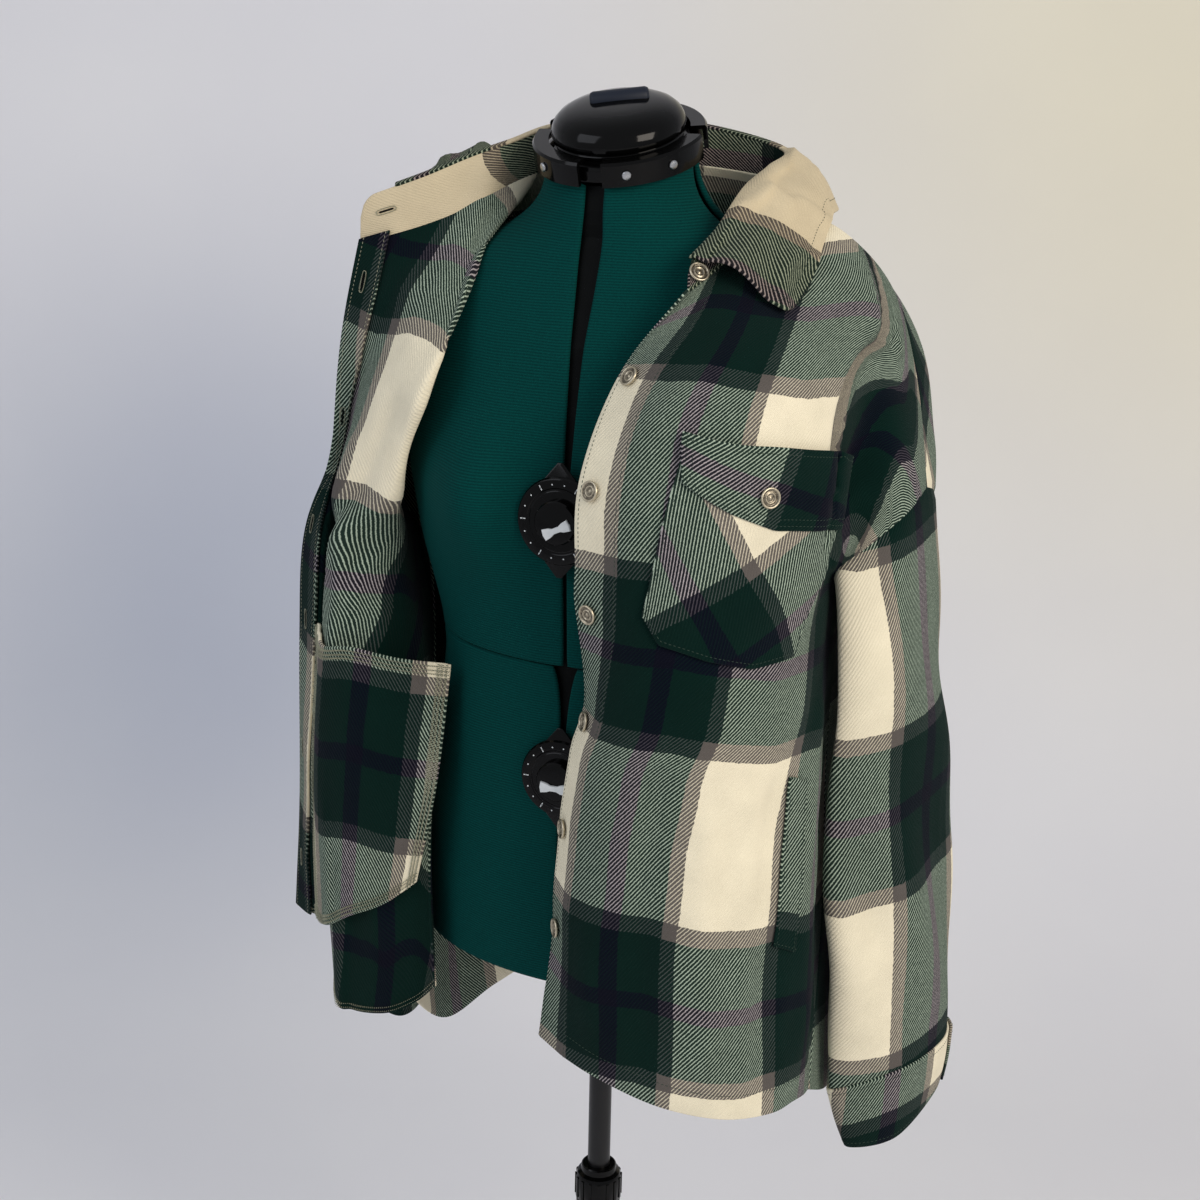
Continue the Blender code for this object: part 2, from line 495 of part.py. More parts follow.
LEFT_CUFF_HEM = ((0.283, 0.060, 0.617), (0.263, 0.002, 0.600), (0.228, -0.012, 0.590), (0.228, 0.020, 0.588),
                 (0.245, 0.076, 0.596), (0.273, 0.088, 0.612))
RIGHT_SLEEVE = (
    ((-0.254, 0.076, 1.035), (-0.236, 0.012, 1.040), (-0.206, 0.004, 1.035), (-0.198, 0.050, 1.028),
     (-0.212, 0.106, 1.030), (-0.243, 0.120, 1.035)),
    ((-0.262, 0.083, 0.950), (-0.243, 0.018, 0.950), (-0.208, 0.008, 0.950), (-0.200, 0.055, 0.950),
     (-0.215, 0.113, 0.950), (-0.250, 0.126, 0.950)),
    ((-0.266, 0.088, 0.860), (-0.247, 0.023, 0.860), (-0.210, 0.012, 0.860), (-0.203, 0.060, 0.860),
     (-0.220, 0.116, 0.860), (-0.254, 0.129, 0.860)),
    ((-0.270, 0.092, 0.770), (-0.250, 0.028, 0.770), (-0.212, 0.016, 0.770), (-0.206, 0.062, 0.770),
     (-0.224, 0.119, 0.770), (-0.258, 0.131, 0.770)),
    ((-0.272, 0.098, 0.664), (-0.252, 0.034, 0.660), (-0.213, 0.022, 0.650), (-0.209, 0.064, 0.648),
     (-0.229, 0.118, 0.652), (-0.260, 0.131, 0.662)),
)
RIGHT_CUFF_HEM = ((-0.270, 0.098, 0.606), (-0.250, 0.038, 0.600), (-0.217, 0.029, 0.590), (-0.213, 0.064, 0.588),
                  (-0.230, 0.112, 0.592), (-0.257, 0.125, 0.603))


def closed_ring(stations, in_front, behind):
    """Ring through six stations, sampled as densely as the armhole is in front and behind."""
    points = np.asarray(stations, float)
    around = spline(np.vstack([points[-2:], points, points[:3]]), 8)[16:-16]
    picks = np.concatenate([np.linspace(0, 24, in_front + 1)[:-1], np.linspace(24, 48, behind + 1)[:-1]])
    whole = np.floor(picks).astype(int)
    share = (picks - whole)[:, None]
    return around[whole] * (1 - share) + around[whole + 1] * share


def sleeve_tube(front_edge, back_edge, table):
    """A sleeve from the armhole, down one edge and up the other, to the cuff's seam."""
    armhole = np.concatenate([front_edge, back_edge[::-1][1:-1]])
    rings = [armhole] + [closed_ring(row, len(front_edge) - 1, len(back_edge) - 1) for row in table]
    return np.stack([spline(column, 2) for column in np.stack(rings, 1)], 1)


def cuff_band(tube, hem, in_front):
    """A cuff from the sleeve's last ring down to its hem."""
    foot = closed_ring(hem, in_front, tube.shape[1] - in_front)
    return np.stack([tube[-1] * (1 - t) + foot * t for t in (0.0, 0.5, 1.0)])


left_sleeve = sleeve_tube(left_front[:9, -1], back[:7, 0], LEFT_SLEEVE)
right_sleeve = sleeve_tube(right_front[:7, -1], back[:7, -1], RIGHT_SLEEVE)
left_cuff = cuff_band(left_sleeve, LEFT_CUFF_HEM, 8)
right_cuff = cuff_band(right_sleeve, RIGHT_CUFF_HEM, 6)
wall("left_cuff", pull_in(left_cuff, ("top",)), BAND, FLANNEL, wrap=True)
wall("right_cuff", pull_in(right_cuff, ("top",)), BAND, FLANNEL, wrap=True)

# ------------------------------------------------------------------ collar
# top edge of the stand, where the leaf rolls over, and two lines down the leaf
COLLAR = (
    # stand top, leaf middle, leaf edge
    ((0.084, -0.076, 1.319), (0.121, -0.081, 1.315), (0.151, -0.063, 1.279)),
    ((0.092, -0.040, 1.337), (0.127, -0.046, 1.329), (0.156, -0.030, 1.293)),
    ((0.098, 0.004, 1.364), (0.132, 0.004, 1.353), (0.158, 0.008, 1.326)),
    ((0.104, 0.045, 1.378), (0.135, 0.052, 1.366), (0.150, 0.057, 1.344)),
    ((0.099, 0.096, 1.389), (0.118, 0.122, 1.374), (0.128, 0.135, 1.346)),
    ((0.022, 0.122, 1.404), (0.022, 0.152, 1.388), (0.022, 0.163, 1.354)),
    ((-0.048, 0.096, 1.408), (-0.066, 0.126, 1.390), (-0.074, 0.140, 1.358)),
    ((-0.072, 0.040, 1.403), (-0.104, 0.058, 1.388), (-0.124, 0.070, 1.358)),
    ((-0.092, -0.005, 1.391), (-0.116, 0.024, 1.380), (-0.138, 0.046, 1.353)),
    ((-0.118, -0.022, 1.380), (-0.138, 0.002, 1.371), (-0.158, 0.026, 1.349)),
    ((-0.145, -0.036, 1.367), (-0.162, -0.012, 1.358), (-0.182, 0.010, 1.336)),
    ((-0.170, -0.044, 1.357), (-0.184, -0.022, 1.349), (-0.202, -0.002, 1.324)),
    ((-0.197, -0.050, 1.347), (-0.197, -0.050, 1.347), (-0.197, -0.050, 1.347)),
)
ROLL = 0.0042              # from the stand's top edge out to the leaf that rolls over it

neckline = np.concatenate([left_front[0, :7], back[0, 9:16], right_front[0, 10::-1]])
stand_top = spline([row[0] for row in COLLAR], 2)
stand = np.stack([neckline, (neckline + stand_top) / 2, stand_top])

leaf_middle = spline([row[1] for row in COLLAR[:-1]], 2)
leaf_edge = spline([row[2] for row in COLLAR[:-1]], 2)
roll = unit(leaf_middle - stand_top[:-2])
leaf = net(np.stack([stand_top[:-2] + roll * ROLL, leaf_middle, leaf_edge]), 1, 3)

# ------------------------------------------------------------------ walls of the sewn panels
left_out, back_out, right_out = -normals(left_front), -normals(back), normals(right_front)
sleeve_out = {"left": normals(left_sleeve, True), "right": -normals(right_sleeve, True)}
stand_out = normals(stand)
neck_out = np.concatenate([left_out[0, :7], back_out[0, 9:16], right_out[0, 10::-1]])
neck_cut = seam_cut(stand_out[0], neck_out, BAND) + SEAM
leaf = laid_over(leaf, stand, stand_out, BAND + LIE, 0.012)
leaf = laid_over(leaf, left_front, left_out, (BAND + CLOTH) / 2 + 2 * LIE, 0.012)
leaf = laid_over(leaf, back, back_out, (BAND + CLOTH) / 2 + 2 * LIE, 0.012)


def sleeve_cut(side, front_edge_out, back_edge_out):
    """Cuts along an armhole: round the sleeve's top ring, on the front's and on the back's edge."""
    panels = np.concatenate([front_edge_out, back_edge_out[::-1][1:-1]])
    ring = seam_cut(sleeve_out[side][0], panels)
    front_count = len(front_edge_out)
    behind = np.concatenate([ring[front_count - 1:], ring[:1]])[::-1]
    return ring, ring[:front_count], behind


left_ring, left_hole, left_hole_behind = sleeve_cut("left", left_out[:9, -1], back_out[:7, 0])
right_ring, right_hole, right_hole_behind = sleeve_cut("right", right_out[:7, -1], back_out[:7, -1])
left_side = seam_cut(left_out[8:, -1], back_out[6:, 0])
right_side = seam_cut(right_out[6:, -1], back_out[6:, -1])
left_shoulder = seam_cut(left_out[0, 6:], back_out[0, 8::-1])
right_shoulder = seam_cut(right_out[0, 10:], back_out[0, 16:])


def column(values):
    """Distances as a column, one for each point of an edge."""
    return np.asarray(values)[:, None]


cut = pull_in(left_front, ("top",), column([*neck_cut[:6], *left_shoulder]))
cut = pull_in(cut, ("last",), column([*left_hole[:-1], max(left_hole[-1], left_side[0]), *left_side[1:]]))
wall("left_front", cut, CLOTH, FLANNEL)
cut = pull_in(right_front, ("top",), column([*neck_cut[:13:-1], *right_shoulder[1:]]))
cut = pull_in(cut, ("last",), column([*right_hole[:-1], max(right_hole[-1], right_side[0]), *right_side[1:]]))
wall("right_front", cut, CLOTH, FLANNEL)
cut = pull_in(back, ("top",), column([*left_shoulder[::-1], *neck_cut[7:14], *right_shoulder]))
cut = pull_in(cut, ("first",), column([*left_hole_behind[:-1], max(left_hole_behind[-1], left_side[0]),
                                       *left_side[1:]]))
cut = pull_in(cut, ("last",), column([*right_hole_behind[:-1], max(right_hole_behind[-1], right_side[0]),
                                      *right_side[1:]]))
wall("back", cut, CLOTH, FLANNEL)
for side, tube, ring in (("left", left_sleeve, left_ring), ("right", right_sleeve, right_ring)):
    cut = pull_in(tube, ("top",), column(ring))
    wall(side + "_sleeve", pull_in(cut, ("bottom",)), CLOTH, FLANNEL, wrap=True)
wall("collar_stand", pull_in(stand, ("top",), column(neck_cut)), BAND, FLANNEL)
wall("collar_leaf", leaf, BAND, FLANNEL)

# ------------------------------------------------------------------ pieces that lie on the fronts
LAYER = CLOTH + 3 * LIE    # from one cloth to the next one on a curved panel


def patch(name, panel, top, bottom, lift, rows, columns, thickness, finish):
    """A piece on a panel between two edges, each a list of (across, down) shares of the panel."""
    grid = np.empty((rows, columns, 3))
    for c, along in enumerate(np.linspace(0, len(top) - 1, columns)):
        upper, lower = (np.array([np.interp(along, range(len(edge)), [s[k] for s in edge])
                                  for k in (0, 1)]) for edge in (top, bottom))
        for r, share in enumerate(np.linspace(0, 1, rows)):
            across, down = upper * (1 - share) + lower * share
            point, out = sample(panel, across, down)
            grid[r, c] = point + out * lift
    wall(name, grid, thickness, finish)
    return grid


POCKET_TOP = ((0.225, 0.235), (0.320, 0.250), (0.420, 0.270), (0.540, 0.285), (0.620, 0.296))
POCKET_FOOT = ((0.168, 0.490), (0.200, 0.539), (0.300, 0.562), (0.400, 0.578), (0.520, 0.572))
FLAP_TOP = ((0.217, 0.206), (0.300, 0.220), (0.389, 0.233), (0.530, 0.252), (0.650, 0.267))
FLAP_FOOT = ((0.233, 0.267), (0.328, 0.311), (0.417, 0.344), (0.560, 0.360), (0.665, 0.372))
WELT_TOP = ((0.545, 0.700), (0.625, 0.711))
WELT_FOOT = ((0.525, 0.845), (0.600, 0.856))
RIGHT_WELT_TOP = ((0.600, 0.700), (0.680, 0.700))
RIGHT_WELT_FOOT = ((0.600, 0.850), (0.680, 0.850))

patch("chest_pocket", left_front, POCKET_TOP, POCKET_FOOT, -LAYER, 9, 13, CLOTH, FLANNEL)
patch("pocket_flap", left_front, FLAP_TOP, FLAP_FOOT, -2 * LAYER, 5, 13, CLOTH, FLANNEL)
FLAT_LAYER = CLOTH + 2 * LIE
patch("left_welt", left_front, WELT_TOP, WELT_FOOT, -FLAT_LAYER, 6, 3, CLOTH, FLANNEL)
patch("right_welt", right_front, RIGHT_WELT_TOP, RIGHT_WELT_FOOT, FLAT_LAYER, 6, 3, CLOTH, FLANNEL)

# facing of the right front: the turned-back strip inside its edge
facing = right_front[:, :3] - normals(right_front)[:, :3] * LAYER
FACING_EDGE = 0.0035       # it stops short of the valley beside it
facing = pull_in(facing, ("last",), FACING_EDGE)
wall("right_facing", pull_in(facing, ("top",), column(neck_cut[:21:-1])), CLOTH, FLANNEL)

# pocket bag of the right front: two cloths sewn flat together, hanging over the ridge
BAG = 0.0032
BAG_ROWS = (
    # outer edge, share of the panel's height where it lies on the ridge, middle, inner, free edge
    ((-0.226, -0.080, 1.004), 0.650, (-0.182, -0.110, 0.998), (-0.145, -0.098, 0.990), (-0.108, -0.080, 0.985)),
    ((-0.231, -0.086, 0.880), 0.790, (-0.182, -0.116, 0.880), (-0.146, -0.110, 0.885), (-0.113, -0.096, 0.890)),
    ((-0.231, -0.089, 0.746), 0.925, (-0.184, -0.117, 0.766), (-0.155, -0.112, 0.780), (-0.130, -0.101, 0.800)),
)
RIDGE_COLUMN = 3 / 9
bag_rows = []
for outer, share, middle, inner, free in BAG_ROWS:
    ridge, out = sample(right_front, RIDGE_COLUMN, share)
    bag_rows.append((outer, ridge - out * ((BAG + CLOTH) / 2 + 4 * LIE), middle, inner, free))
bag = laid_over(net(bag_rows, 3, 4), right_front, -right_out, (BAG + CLOTH) / 2 + 2 * LIE)
wall("right_pocket_bag", bag, BAG, FLANNEL)


# ------------------------------------------------------------------ buttons
def button(name, point, out):
    """Shank button: a dished disc on a short stem, standing on the cloth."""
    frame = facing_frame(point, out)
    turned(name, ((BUTTON_RADIUS * 0.35, 0.0), (BUTTON_RADIUS * 0.35, 0.0008), (BUTTON_RADIUS, 0.0010),
                  (BUTTON_RADIUS, BUTTON_HEIGHT - 0.0006), (BUTTON_RADIUS - 0.0008, BUTTON_HEIGHT)),
           NICKEL, 16, frame)


BUTTON_HEIGHTS = (1.237, 1.161, 1.067, 0.980, 0.886, 0.802)
edge_line = left_front[:, 0]
for k, height in enumerate(BUTTON_HEIGHTS):
    down = np.interp(-height, -edge_line[:, 2], np.linspace(0, 1, len(edge_line)))
    row_width = np.linalg.norm(np.diff(left_front[int(down * (len(edge_line) - 1))], axis=0), axis=1).sum()
    spot, inward = sample(left_front, BUTTON_FROM_EDGE / row_width, down)
    button("front_button_%d" % (k + 1), spot - inward * (CLOTH / 2 + LIE), -inward)
spot, inward = sample(left_front, 0.394, 0.296)
button("flap_button", spot - inward * (2 * LAYER + CLOTH / 2 + LIE), -inward)
for side, band, column in (("left", left_cuff, 13), ("right", right_cuff, 11)):
    rim, above = band[2, column], band[1, column]
    along = band[1, (column + 1) % band.shape[1]] - band[1, column - 1]
    out = np.cross(along, rim - above)
    away = above[:2] - band[1].mean(0)[:2]
    out *= np.sign(out[0] * away[0] + out[1] * away[1]) / np.linalg.norm(out)
    button(side + "_cuff_button", above + out * (BAND / 2 + LIE), out)
spot, out = sample(stand, 0.02, 0.25)
button("stand_button", spot + out * (BAND / 2 + LIE), out)
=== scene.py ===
"""Flannel shirt jacket on an adjustable dress form with a round stand: the finished surfaces.

Metres, +Z up. The origin is on the floor, at the axis of the pole. The wearer's left is +X and
the front is -Y. Every cloth panel is a net of stations, a row for each height or seam and a
column for each named place across the panel, with its cloth coordinates in a UV map.
"""

import bpy
import numpy as np
from mathutils import Matrix, Vector
from mathutils.kdtree import KDTree


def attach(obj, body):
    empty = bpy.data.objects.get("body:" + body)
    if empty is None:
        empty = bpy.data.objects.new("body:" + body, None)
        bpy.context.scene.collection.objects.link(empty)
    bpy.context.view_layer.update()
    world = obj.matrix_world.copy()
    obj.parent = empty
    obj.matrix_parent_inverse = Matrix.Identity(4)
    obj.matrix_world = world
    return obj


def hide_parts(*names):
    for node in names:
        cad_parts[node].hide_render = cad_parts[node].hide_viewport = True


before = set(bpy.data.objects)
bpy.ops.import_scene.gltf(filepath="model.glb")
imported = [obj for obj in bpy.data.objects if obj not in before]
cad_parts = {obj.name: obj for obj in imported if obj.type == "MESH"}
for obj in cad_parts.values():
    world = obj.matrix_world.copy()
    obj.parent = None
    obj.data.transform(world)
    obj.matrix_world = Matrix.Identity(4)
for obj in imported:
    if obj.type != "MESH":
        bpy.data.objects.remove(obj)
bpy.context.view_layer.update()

# ------------------------------------------------------------------ camera
# A camera at eye height, a step in front of the jacket and to the wearer's left, looking down on
# it. Its lens is 54 mm on a 36 mm sensor, and it is held a little out of level.
BEARING = np.radians(21.0)
CAMERA_AWAY, CAMERA_HEIGHT = 1.41, 1.45
YAW, PITCH, ROLL = 0.00675, np.radians(16.5), np.radians(1.2)

toward = Vector((np.sin(BEARING), -np.cos(BEARING), 0.0))
sideways = Vector((np.cos(BEARING), np.sin(BEARING), 0.0))
level = -toward * np.cos(YAW) - sideways * np.sin(YAW)
aim = level * np.cos(PITCH) - Vector((0, 0, np.sin(PITCH)))
right = level.cross(Vector((0, 0, 1)))
above = right.cross(aim)
turn = Matrix((right * np.cos(ROLL) + above * np.sin(ROLL),
               above * np.cos(ROLL) - right * np.sin(ROLL), -aim))
camera = bpy.data.objects.new("camera", bpy.data.cameras.new("camera"))
camera.data.lens, camera.data.sensor_width = 54.0, 36.0
camera.matrix_world = Matrix.Translation(toward * CAMERA_AWAY + Vector((0, 0, CAMERA_HEIGHT))) \
    @ turn.transposed().to_4x4()
bpy.context.scene.collection.objects.link(camera)
bpy.context.scene.camera = camera
bpy.context.scene.view_settings.view_transform = "Standard"


# ------------------------------------------------------------------ floor, backdrop and light
# A pale painted floor that sweeps up into the wall behind, a big cool window light at the left, a
# smaller and stronger warm lamp at the right, and an even room light from all round.
def linear(code):
    """Linear colour of an sRGB hex code."""
    parts = [int(code[k:k + 2], 16) / 255 for k in (1, 3, 5)]
    return tuple(c / 12.92 if c <= 0.04045 else ((c + 0.055) / 1.055) ** 2.4 for c in parts) + (1.0,)


def add_node(tree, kind, settings=None, **links):
    """Adds a node: settings by property or input name, links by input name with _ for a space."""
    node = tree.nodes.new(kind)
    for key, value in (settings or {}).items():
        if isinstance(key, str) and hasattr(node, key) and key not in node.inputs:
            setattr(node, key, value)
        else:
            node.inputs[key].default_value = value
    for key, source in links.items():
        place = int(key[1:]) if key[1:].isdigit() else key.replace("_", " ")
        tree.links.new(source, node.inputs[place])
    return node


def finish(name):
    """A new material: its node tree, its Principled shader, and itself."""
    made = bpy.data.materials.new(name)
    made.use_nodes = True
    return made.node_tree, made.node_tree.nodes["Principled BSDF"], made


def maths(tree, operation, *values, kind="ShaderNodeMath"):
    """Result of a maths node, whose values are numbers, vectors or the sockets they come from."""
    node = tree.nodes.new(kind)
    node.operation = operation
    for socket, value in zip(node.inputs, values):
        if isinstance(value, bpy.types.NodeSocket):
            tree.links.new(value, socket)
        else:
            socket.default_value = value
    return node.outputs[0]


def vectors(tree, operation, *values):
    """Result of a vector maths node."""
    return maths(tree, operation, *values, kind="ShaderNodeVectorMath")


def noise(tree, scale, detail, at=None, **settings):
    """Share from 0 to 1 that wanders over the object, or over other coordinates."""
    at = at or add_node(tree, "ShaderNodeTexCoord").outputs["Object"]
    return add_node(tree, "ShaderNodeTexNoise", {"Scale": scale, "Detail": detail, **settings},
                    Vector=at).outputs["Fac"]


def shades(tree, share, dark, light, low=0.0, high=1.0):
    """Colour that goes from dark to light as the share rises."""
    tone = add_node(tree, "ShaderNodeValToRGB", Fac=share)
    for stop, place, code in zip(tone.color_ramp.elements, (low, high), (dark, light)):
        stop.position, stop.color = place, linear(code)
    return tone.outputs["Color"]


def bumps(tree, height, strength, distance):
    """Normal of a surface that is raised by the height."""
    return add_node(tree, "ShaderNodeBump", {"Strength": strength, "Distance": distance},
                    Height=height).outputs["Normal"]


def dress(shader, **values):
    """Sets a shader's inputs, _ for a space, to numbers, colour codes or the sockets of nodes."""
    for key, value in values.items():
        socket = shader.inputs[key.replace("_", " ")]
        if isinstance(value, bpy.types.NodeSocket):
            shader.id_data.links.new(value, socket)
        else:
            socket.default_value = linear(value) if isinstance(value, str) else value


tree, shader, painted = finish("matt pale wall paint")
# plaster under roller paint: even and matt, with the faintest mottle; the uneven light of a room is
# painted on it, a cool painted shadow low beside the object and a warm painted glow high up at the right
on_wall = add_node(tree, "ShaderNodeTexCoord").outputs["Object"]
lit = shades(tree, noise(tree, 3.0, 3.0, on_wall), "#E3E3E8", "#EAEAEC")
# the first field is the painted shadow, the second the painted warm glow
for centre, near, far, tint in (((-0.62, 1.75, 0.50), 0.10, 0.95, (0.66, 0.70, 0.78)),
                                ((1.20, 1.80, 1.60), 0.20, 1.60, (1.06, 1.00, 0.78))):
    gap = add_node(tree, "ShaderNodeVectorMath", {"operation": "DISTANCE", 1: centre}, _0=on_wall)
    fade = add_node(tree, "ShaderNodeMapRange", {"interpolation_type": "SMOOTHSTEP", "From Min": near,
                                                 "From Max": far}, Value=gap.outputs["Value"])
    cast = add_node(tree, "ShaderNodeMix", {"data_type": "VECTOR", 4: tint, 5: (1, 1, 1)},
                    _0=fade.outputs[0])
    lit = vectors(tree, "MULTIPLY", lit, cast.outputs[1])
dress(shader, Base_Color=lit, Roughness=0.9)
# the sheet is clear from behind, so that it never hides the back of the object
clear = add_node(tree, "ShaderNodeBsdfTransparent")
backfacing = add_node(tree, "ShaderNodeNewGeometry").outputs["Backfacing"]
one_sided = add_node(tree, "ShaderNodeMixShader", _0=backfacing, _1=shader.outputs[0], _2=clear.outputs[0])
tree.links.new(one_sided.outputs[0], tree.nodes["Material Output"].inputs["Surface"])

SWEEP, WALL_AWAY, WALL_TALL = 0.9, 0.9, 4.5      # radius of the sweep, where it starts, the wall's top
profile = [(-3.0, 0.0), (WALL_AWAY, 0.0)]
profile += [(WALL_AWAY + SWEEP * np.sin(a), SWEEP - SWEEP * np.cos(a))
            for a in np.linspace(0, np.pi / 2, 16)[1:]]
profile += [(WALL_AWAY + SWEEP, WALL_TALL)]
verts = [(x, y, z) for y, z in profile for x in (-5.0, 5.0)]
faces = [(2 * k, 2 * k + 1, 2 * k + 3, 2 * k + 2) for k in range(len(profile) - 1)]
backdrop_mesh = bpy.data.meshes.new("backdrop")
backdrop_mesh.from_pydata(verts, [], faces)
backdrop_mesh.shade_smooth()
backdrop_mesh.materials.append(painted)
backdrop = bpy.data.objects.new("backdrop", backdrop_mesh)
backdrop.matrix_world = Matrix.Rotation(BEARING, 4, "Z")
bpy.context.scene.collection.objects.link(backdrop)

world = bpy.data.worlds.new("room")
bpy.context.scene.world = world
world.use_nodes = True
world.node_tree.nodes["Background"].inputs["Color"].default_value = linear("#E9ECF2")
world.node_tree.nodes["Background"].inputs["Strength"].default_value = 0.55
for lamp_name, place, target, size, power, colour in (
        ("window", (-1.7, -2.3, 2.5), (0.0, 0.0, 1.0), 1.8, 22.0, "#F2F6FF"),
        ("lamp", (2.4, -1.3, 2.2), (0.1, 0.0, 1.1), 1.4, 54.0, "#FFF5E8")):
    lamp = bpy.data.lights.new(lamp_name, "AREA")
    lamp.size, lamp.energy, lamp.color = size, power, linear(colour)[:3]
    hung = bpy.data.objects.new(lamp_name, lamp)
    hung.location = place
    hung.rotation_euler = (Vector(target) - Vector(place)).to_track_quat("-Z", "Y").to_euler()
    bpy.context.scene.collection.objects.link(hung)


# ------------------------------------------------------------------ the form's shells
# Eight moulded plastic shells under a knitted cover, four round the bust and four round the hips,
# held apart by the slots between them. The cover is a fine teal jersey, stretched over each shell
# and turned in round its edges.
NECK_HEIGHT = 1.385
NECK_TILT = 0.36          # rise of the neck plane for each metre towards the back
SHELL_RIM = 0.735
SHELL = 0.0045
SLOT_HEIGHTS = (1.13, 1.25, 1.34)
SLOT_WIDTHS = (0.0032, 0.0062, 0.0100)
# height, half width, depth in front, depth behind, share of the neck's tilt
TORSO = np.array((
    (NECK_HEIGHT, 0.058, 0.056, 0.056, 1.00), (1.364, 0.060, 0.059, 0.060, 0.80),
    (1.348, 0.070, 0.060, 0.066, 0.50), (1.334, 0.086, 0.060, 0.074, 0.25),
    (1.314, 0.133, 0.065, 0.084, 0.08), (1.286, 0.170, 0.073, 0.092, 0.00),
    (1.250, 0.183, 0.086, 0.100, 0.00), (1.200, 0.181, 0.095, 0.103, 0.00),
    (1.140, 0.176, 0.102, 0.100, 0.00), (1.080, 0.164, 0.102, 0.092, 0.00),
    (1.020, 0.146, 0.099, 0.085, 0.00), (0.990, 0.142, 0.098, 0.084, 0.00),
    (0.940, 0.147, 0.101, 0.094, 0.00), (0.870, 0.156, 0.104, 0.110, 0.00),
    (0.800, 0.161, 0.104, 0.115, 0.00), (SHELL_RIM, 0.161, 0.101, 0.112, 0.00)))
BUST = {"x": 0.078, "z": 1.128, "reach": 0.036, "inner": 0.038, "outer": 0.052, "tall": 0.055}
WAIST = 1.004
WAIST_SLOT = 0.0025
FRONT, SIDE = np.pi / 2, 0.12
QUARTERS = (("left_front", -SIDE, FRONT), ("right_front", FRONT, np.pi + SIDE),
            ("right_back", np.pi + SIDE, 3 * FRONT), ("left_back", 3 * FRONT, 4 * FRONT - SIDE))


def torso_point(angle, height):
    """Point on the form; angle 0 is the wearer's left, a quarter turn on is the front."""
    a, front, back, tilt = (np.interp(height, TORSO[::-1, 0], TORSO[::-1, k]) for k in (1, 2, 3, 4))
    x = a * np.cos(angle)
    y = -(front if np.sin(angle) > 0 else back) * np.sin(angle)
    if np.sin(angle) > 0:
        wide = BUST["outer"] if abs(x) > BUST["x"] else BUST["inner"]
        away = ((abs(x) - BUST["x"]) / wide) ** 2 + ((height - BUST["z"]) / BUST["tall"]) ** 2
        y -= BUST["reach"] * np.exp(-away) * np.sin(angle) ** 0.5
    return np.array([x, y, height + NECK_TILT * tilt * y])


def unit(vectors):
    """Vectors scaled to length one."""
    return vectors / np.maximum(np.linalg.norm(vectors, axis=-1, keepdims=True), 1e-12)


def normals(grid, wrap=False):
    """Unit normals of a grid, column direction crossed with row direction."""
    ahead = np.roll(grid, -1, 1) - np.roll(grid, 1, 1) if wrap else np.gradient(grid, axis=1)
    return unit(np.cross(ahead, np.gradient(grid, axis=0)))


def softened(grid, rounds):
    """A grid with its inner points drawn towards their neighbours, which takes out small kinks."""
    smooth = grid.copy()
    for _ in range(rounds):
        smooth[1:-1] = smooth[1:-1] * 0.5 + (smooth[:-2] + smooth[2:]) * 0.25
        smooth[:, 1:-1] = smooth[:, 1:-1] * 0.5 + (smooth[:, :-2] + smooth[:, 2:]) * 0.25
    return smooth


def placed(name, mesh, stands_for=()):
    """An object on the one body and the solids that it hides."""
    made = bpy.data.objects.new(name, mesh)
    bpy.context.scene.collection.objects.link(made)
    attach(made, "root")
    if stands_for:
        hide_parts(*stands_for)
    return made


def piece(name, verts, faces, material, stands_for, uvs=None, crease=None):
    """A finished mesh piece on the one body: smooth, with its UV map, slot and hidden solids."""
    mesh = bpy.data.meshes.new(name)
    mesh.from_pydata(np.asarray(verts, float).tolist(), [], faces)
    if uvs is not None:
        layer = mesh.uv_layers.new(name="cloth")
        layer.data.foreach_set("uv", np.asarray(uvs, np.float32).ravel())
    mesh.shade_smooth()
    if crease is not None:
        mesh.set_sharp_from_angle(angle=crease)
    mesh.materials.append(material)
    return placed(name, mesh, stands_for)


def sheet_mesh(grid, thickness, edges=4):
    """Outer and inner skin of a wall with a round edge between them: vertices, faces, grid places."""
    rows, columns = grid.shape[:2]
    out = normals(grid) * thickness / 2
    size = rows * columns
    verts = [(grid + out).reshape(-1, 3), (grid - out).reshape(-1, 3)]
    index = np.arange(size).reshape(rows, columns)
    faces, corners = [], []
    for r in range(rows - 1):
        for c in range(columns - 1):
            quad = (index[r, c], index[r, c + 1], index[r + 1, c + 1], index[r + 1, c])
            faces += [quad, tuple(i + size for i in quad[::-1])]
            corners += [quad, quad[::-1]]
    ring = [*index[0], *index[1:, -1], *index[-1, -2::-1], *index[-2:0:-1, 0]]
    flat, lift = grid.reshape(-1, 3)[ring], out.reshape(-1, 3)[ring]
    bulge = unit(np.cross(lift, unit(np.roll(flat, -1, 0) - np.roll(flat, 1, 0)))) * thickness / 2
    levels = [np.array(ring)]
    for k in range(1, edges):
        turn_by = np.pi * k / edges
        verts.append(flat + lift * np.cos(turn_by) - bulge * np.sin(turn_by))
        levels.append(2 * size + np.arange((k - 1) * len(ring), k * len(ring)))
    levels.append(np.array(ring) + size)
    for upper, lower in zip(levels, levels[1:]):
        for n in range(len(ring)):
            m = (n + 1) % len(ring)
            faces.append((upper[m], upper[n], lower[n], lower[m]))
            corners.append((ring[m], ring[n], ring[n], ring[m]))
    return np.concatenate(verts), faces, corners


KNIT_RIB = 0.0021         # one course of the jersey, drawn twice as coarse as real so that it shows

tree, shader, knit = finish("teal cotton jersey")
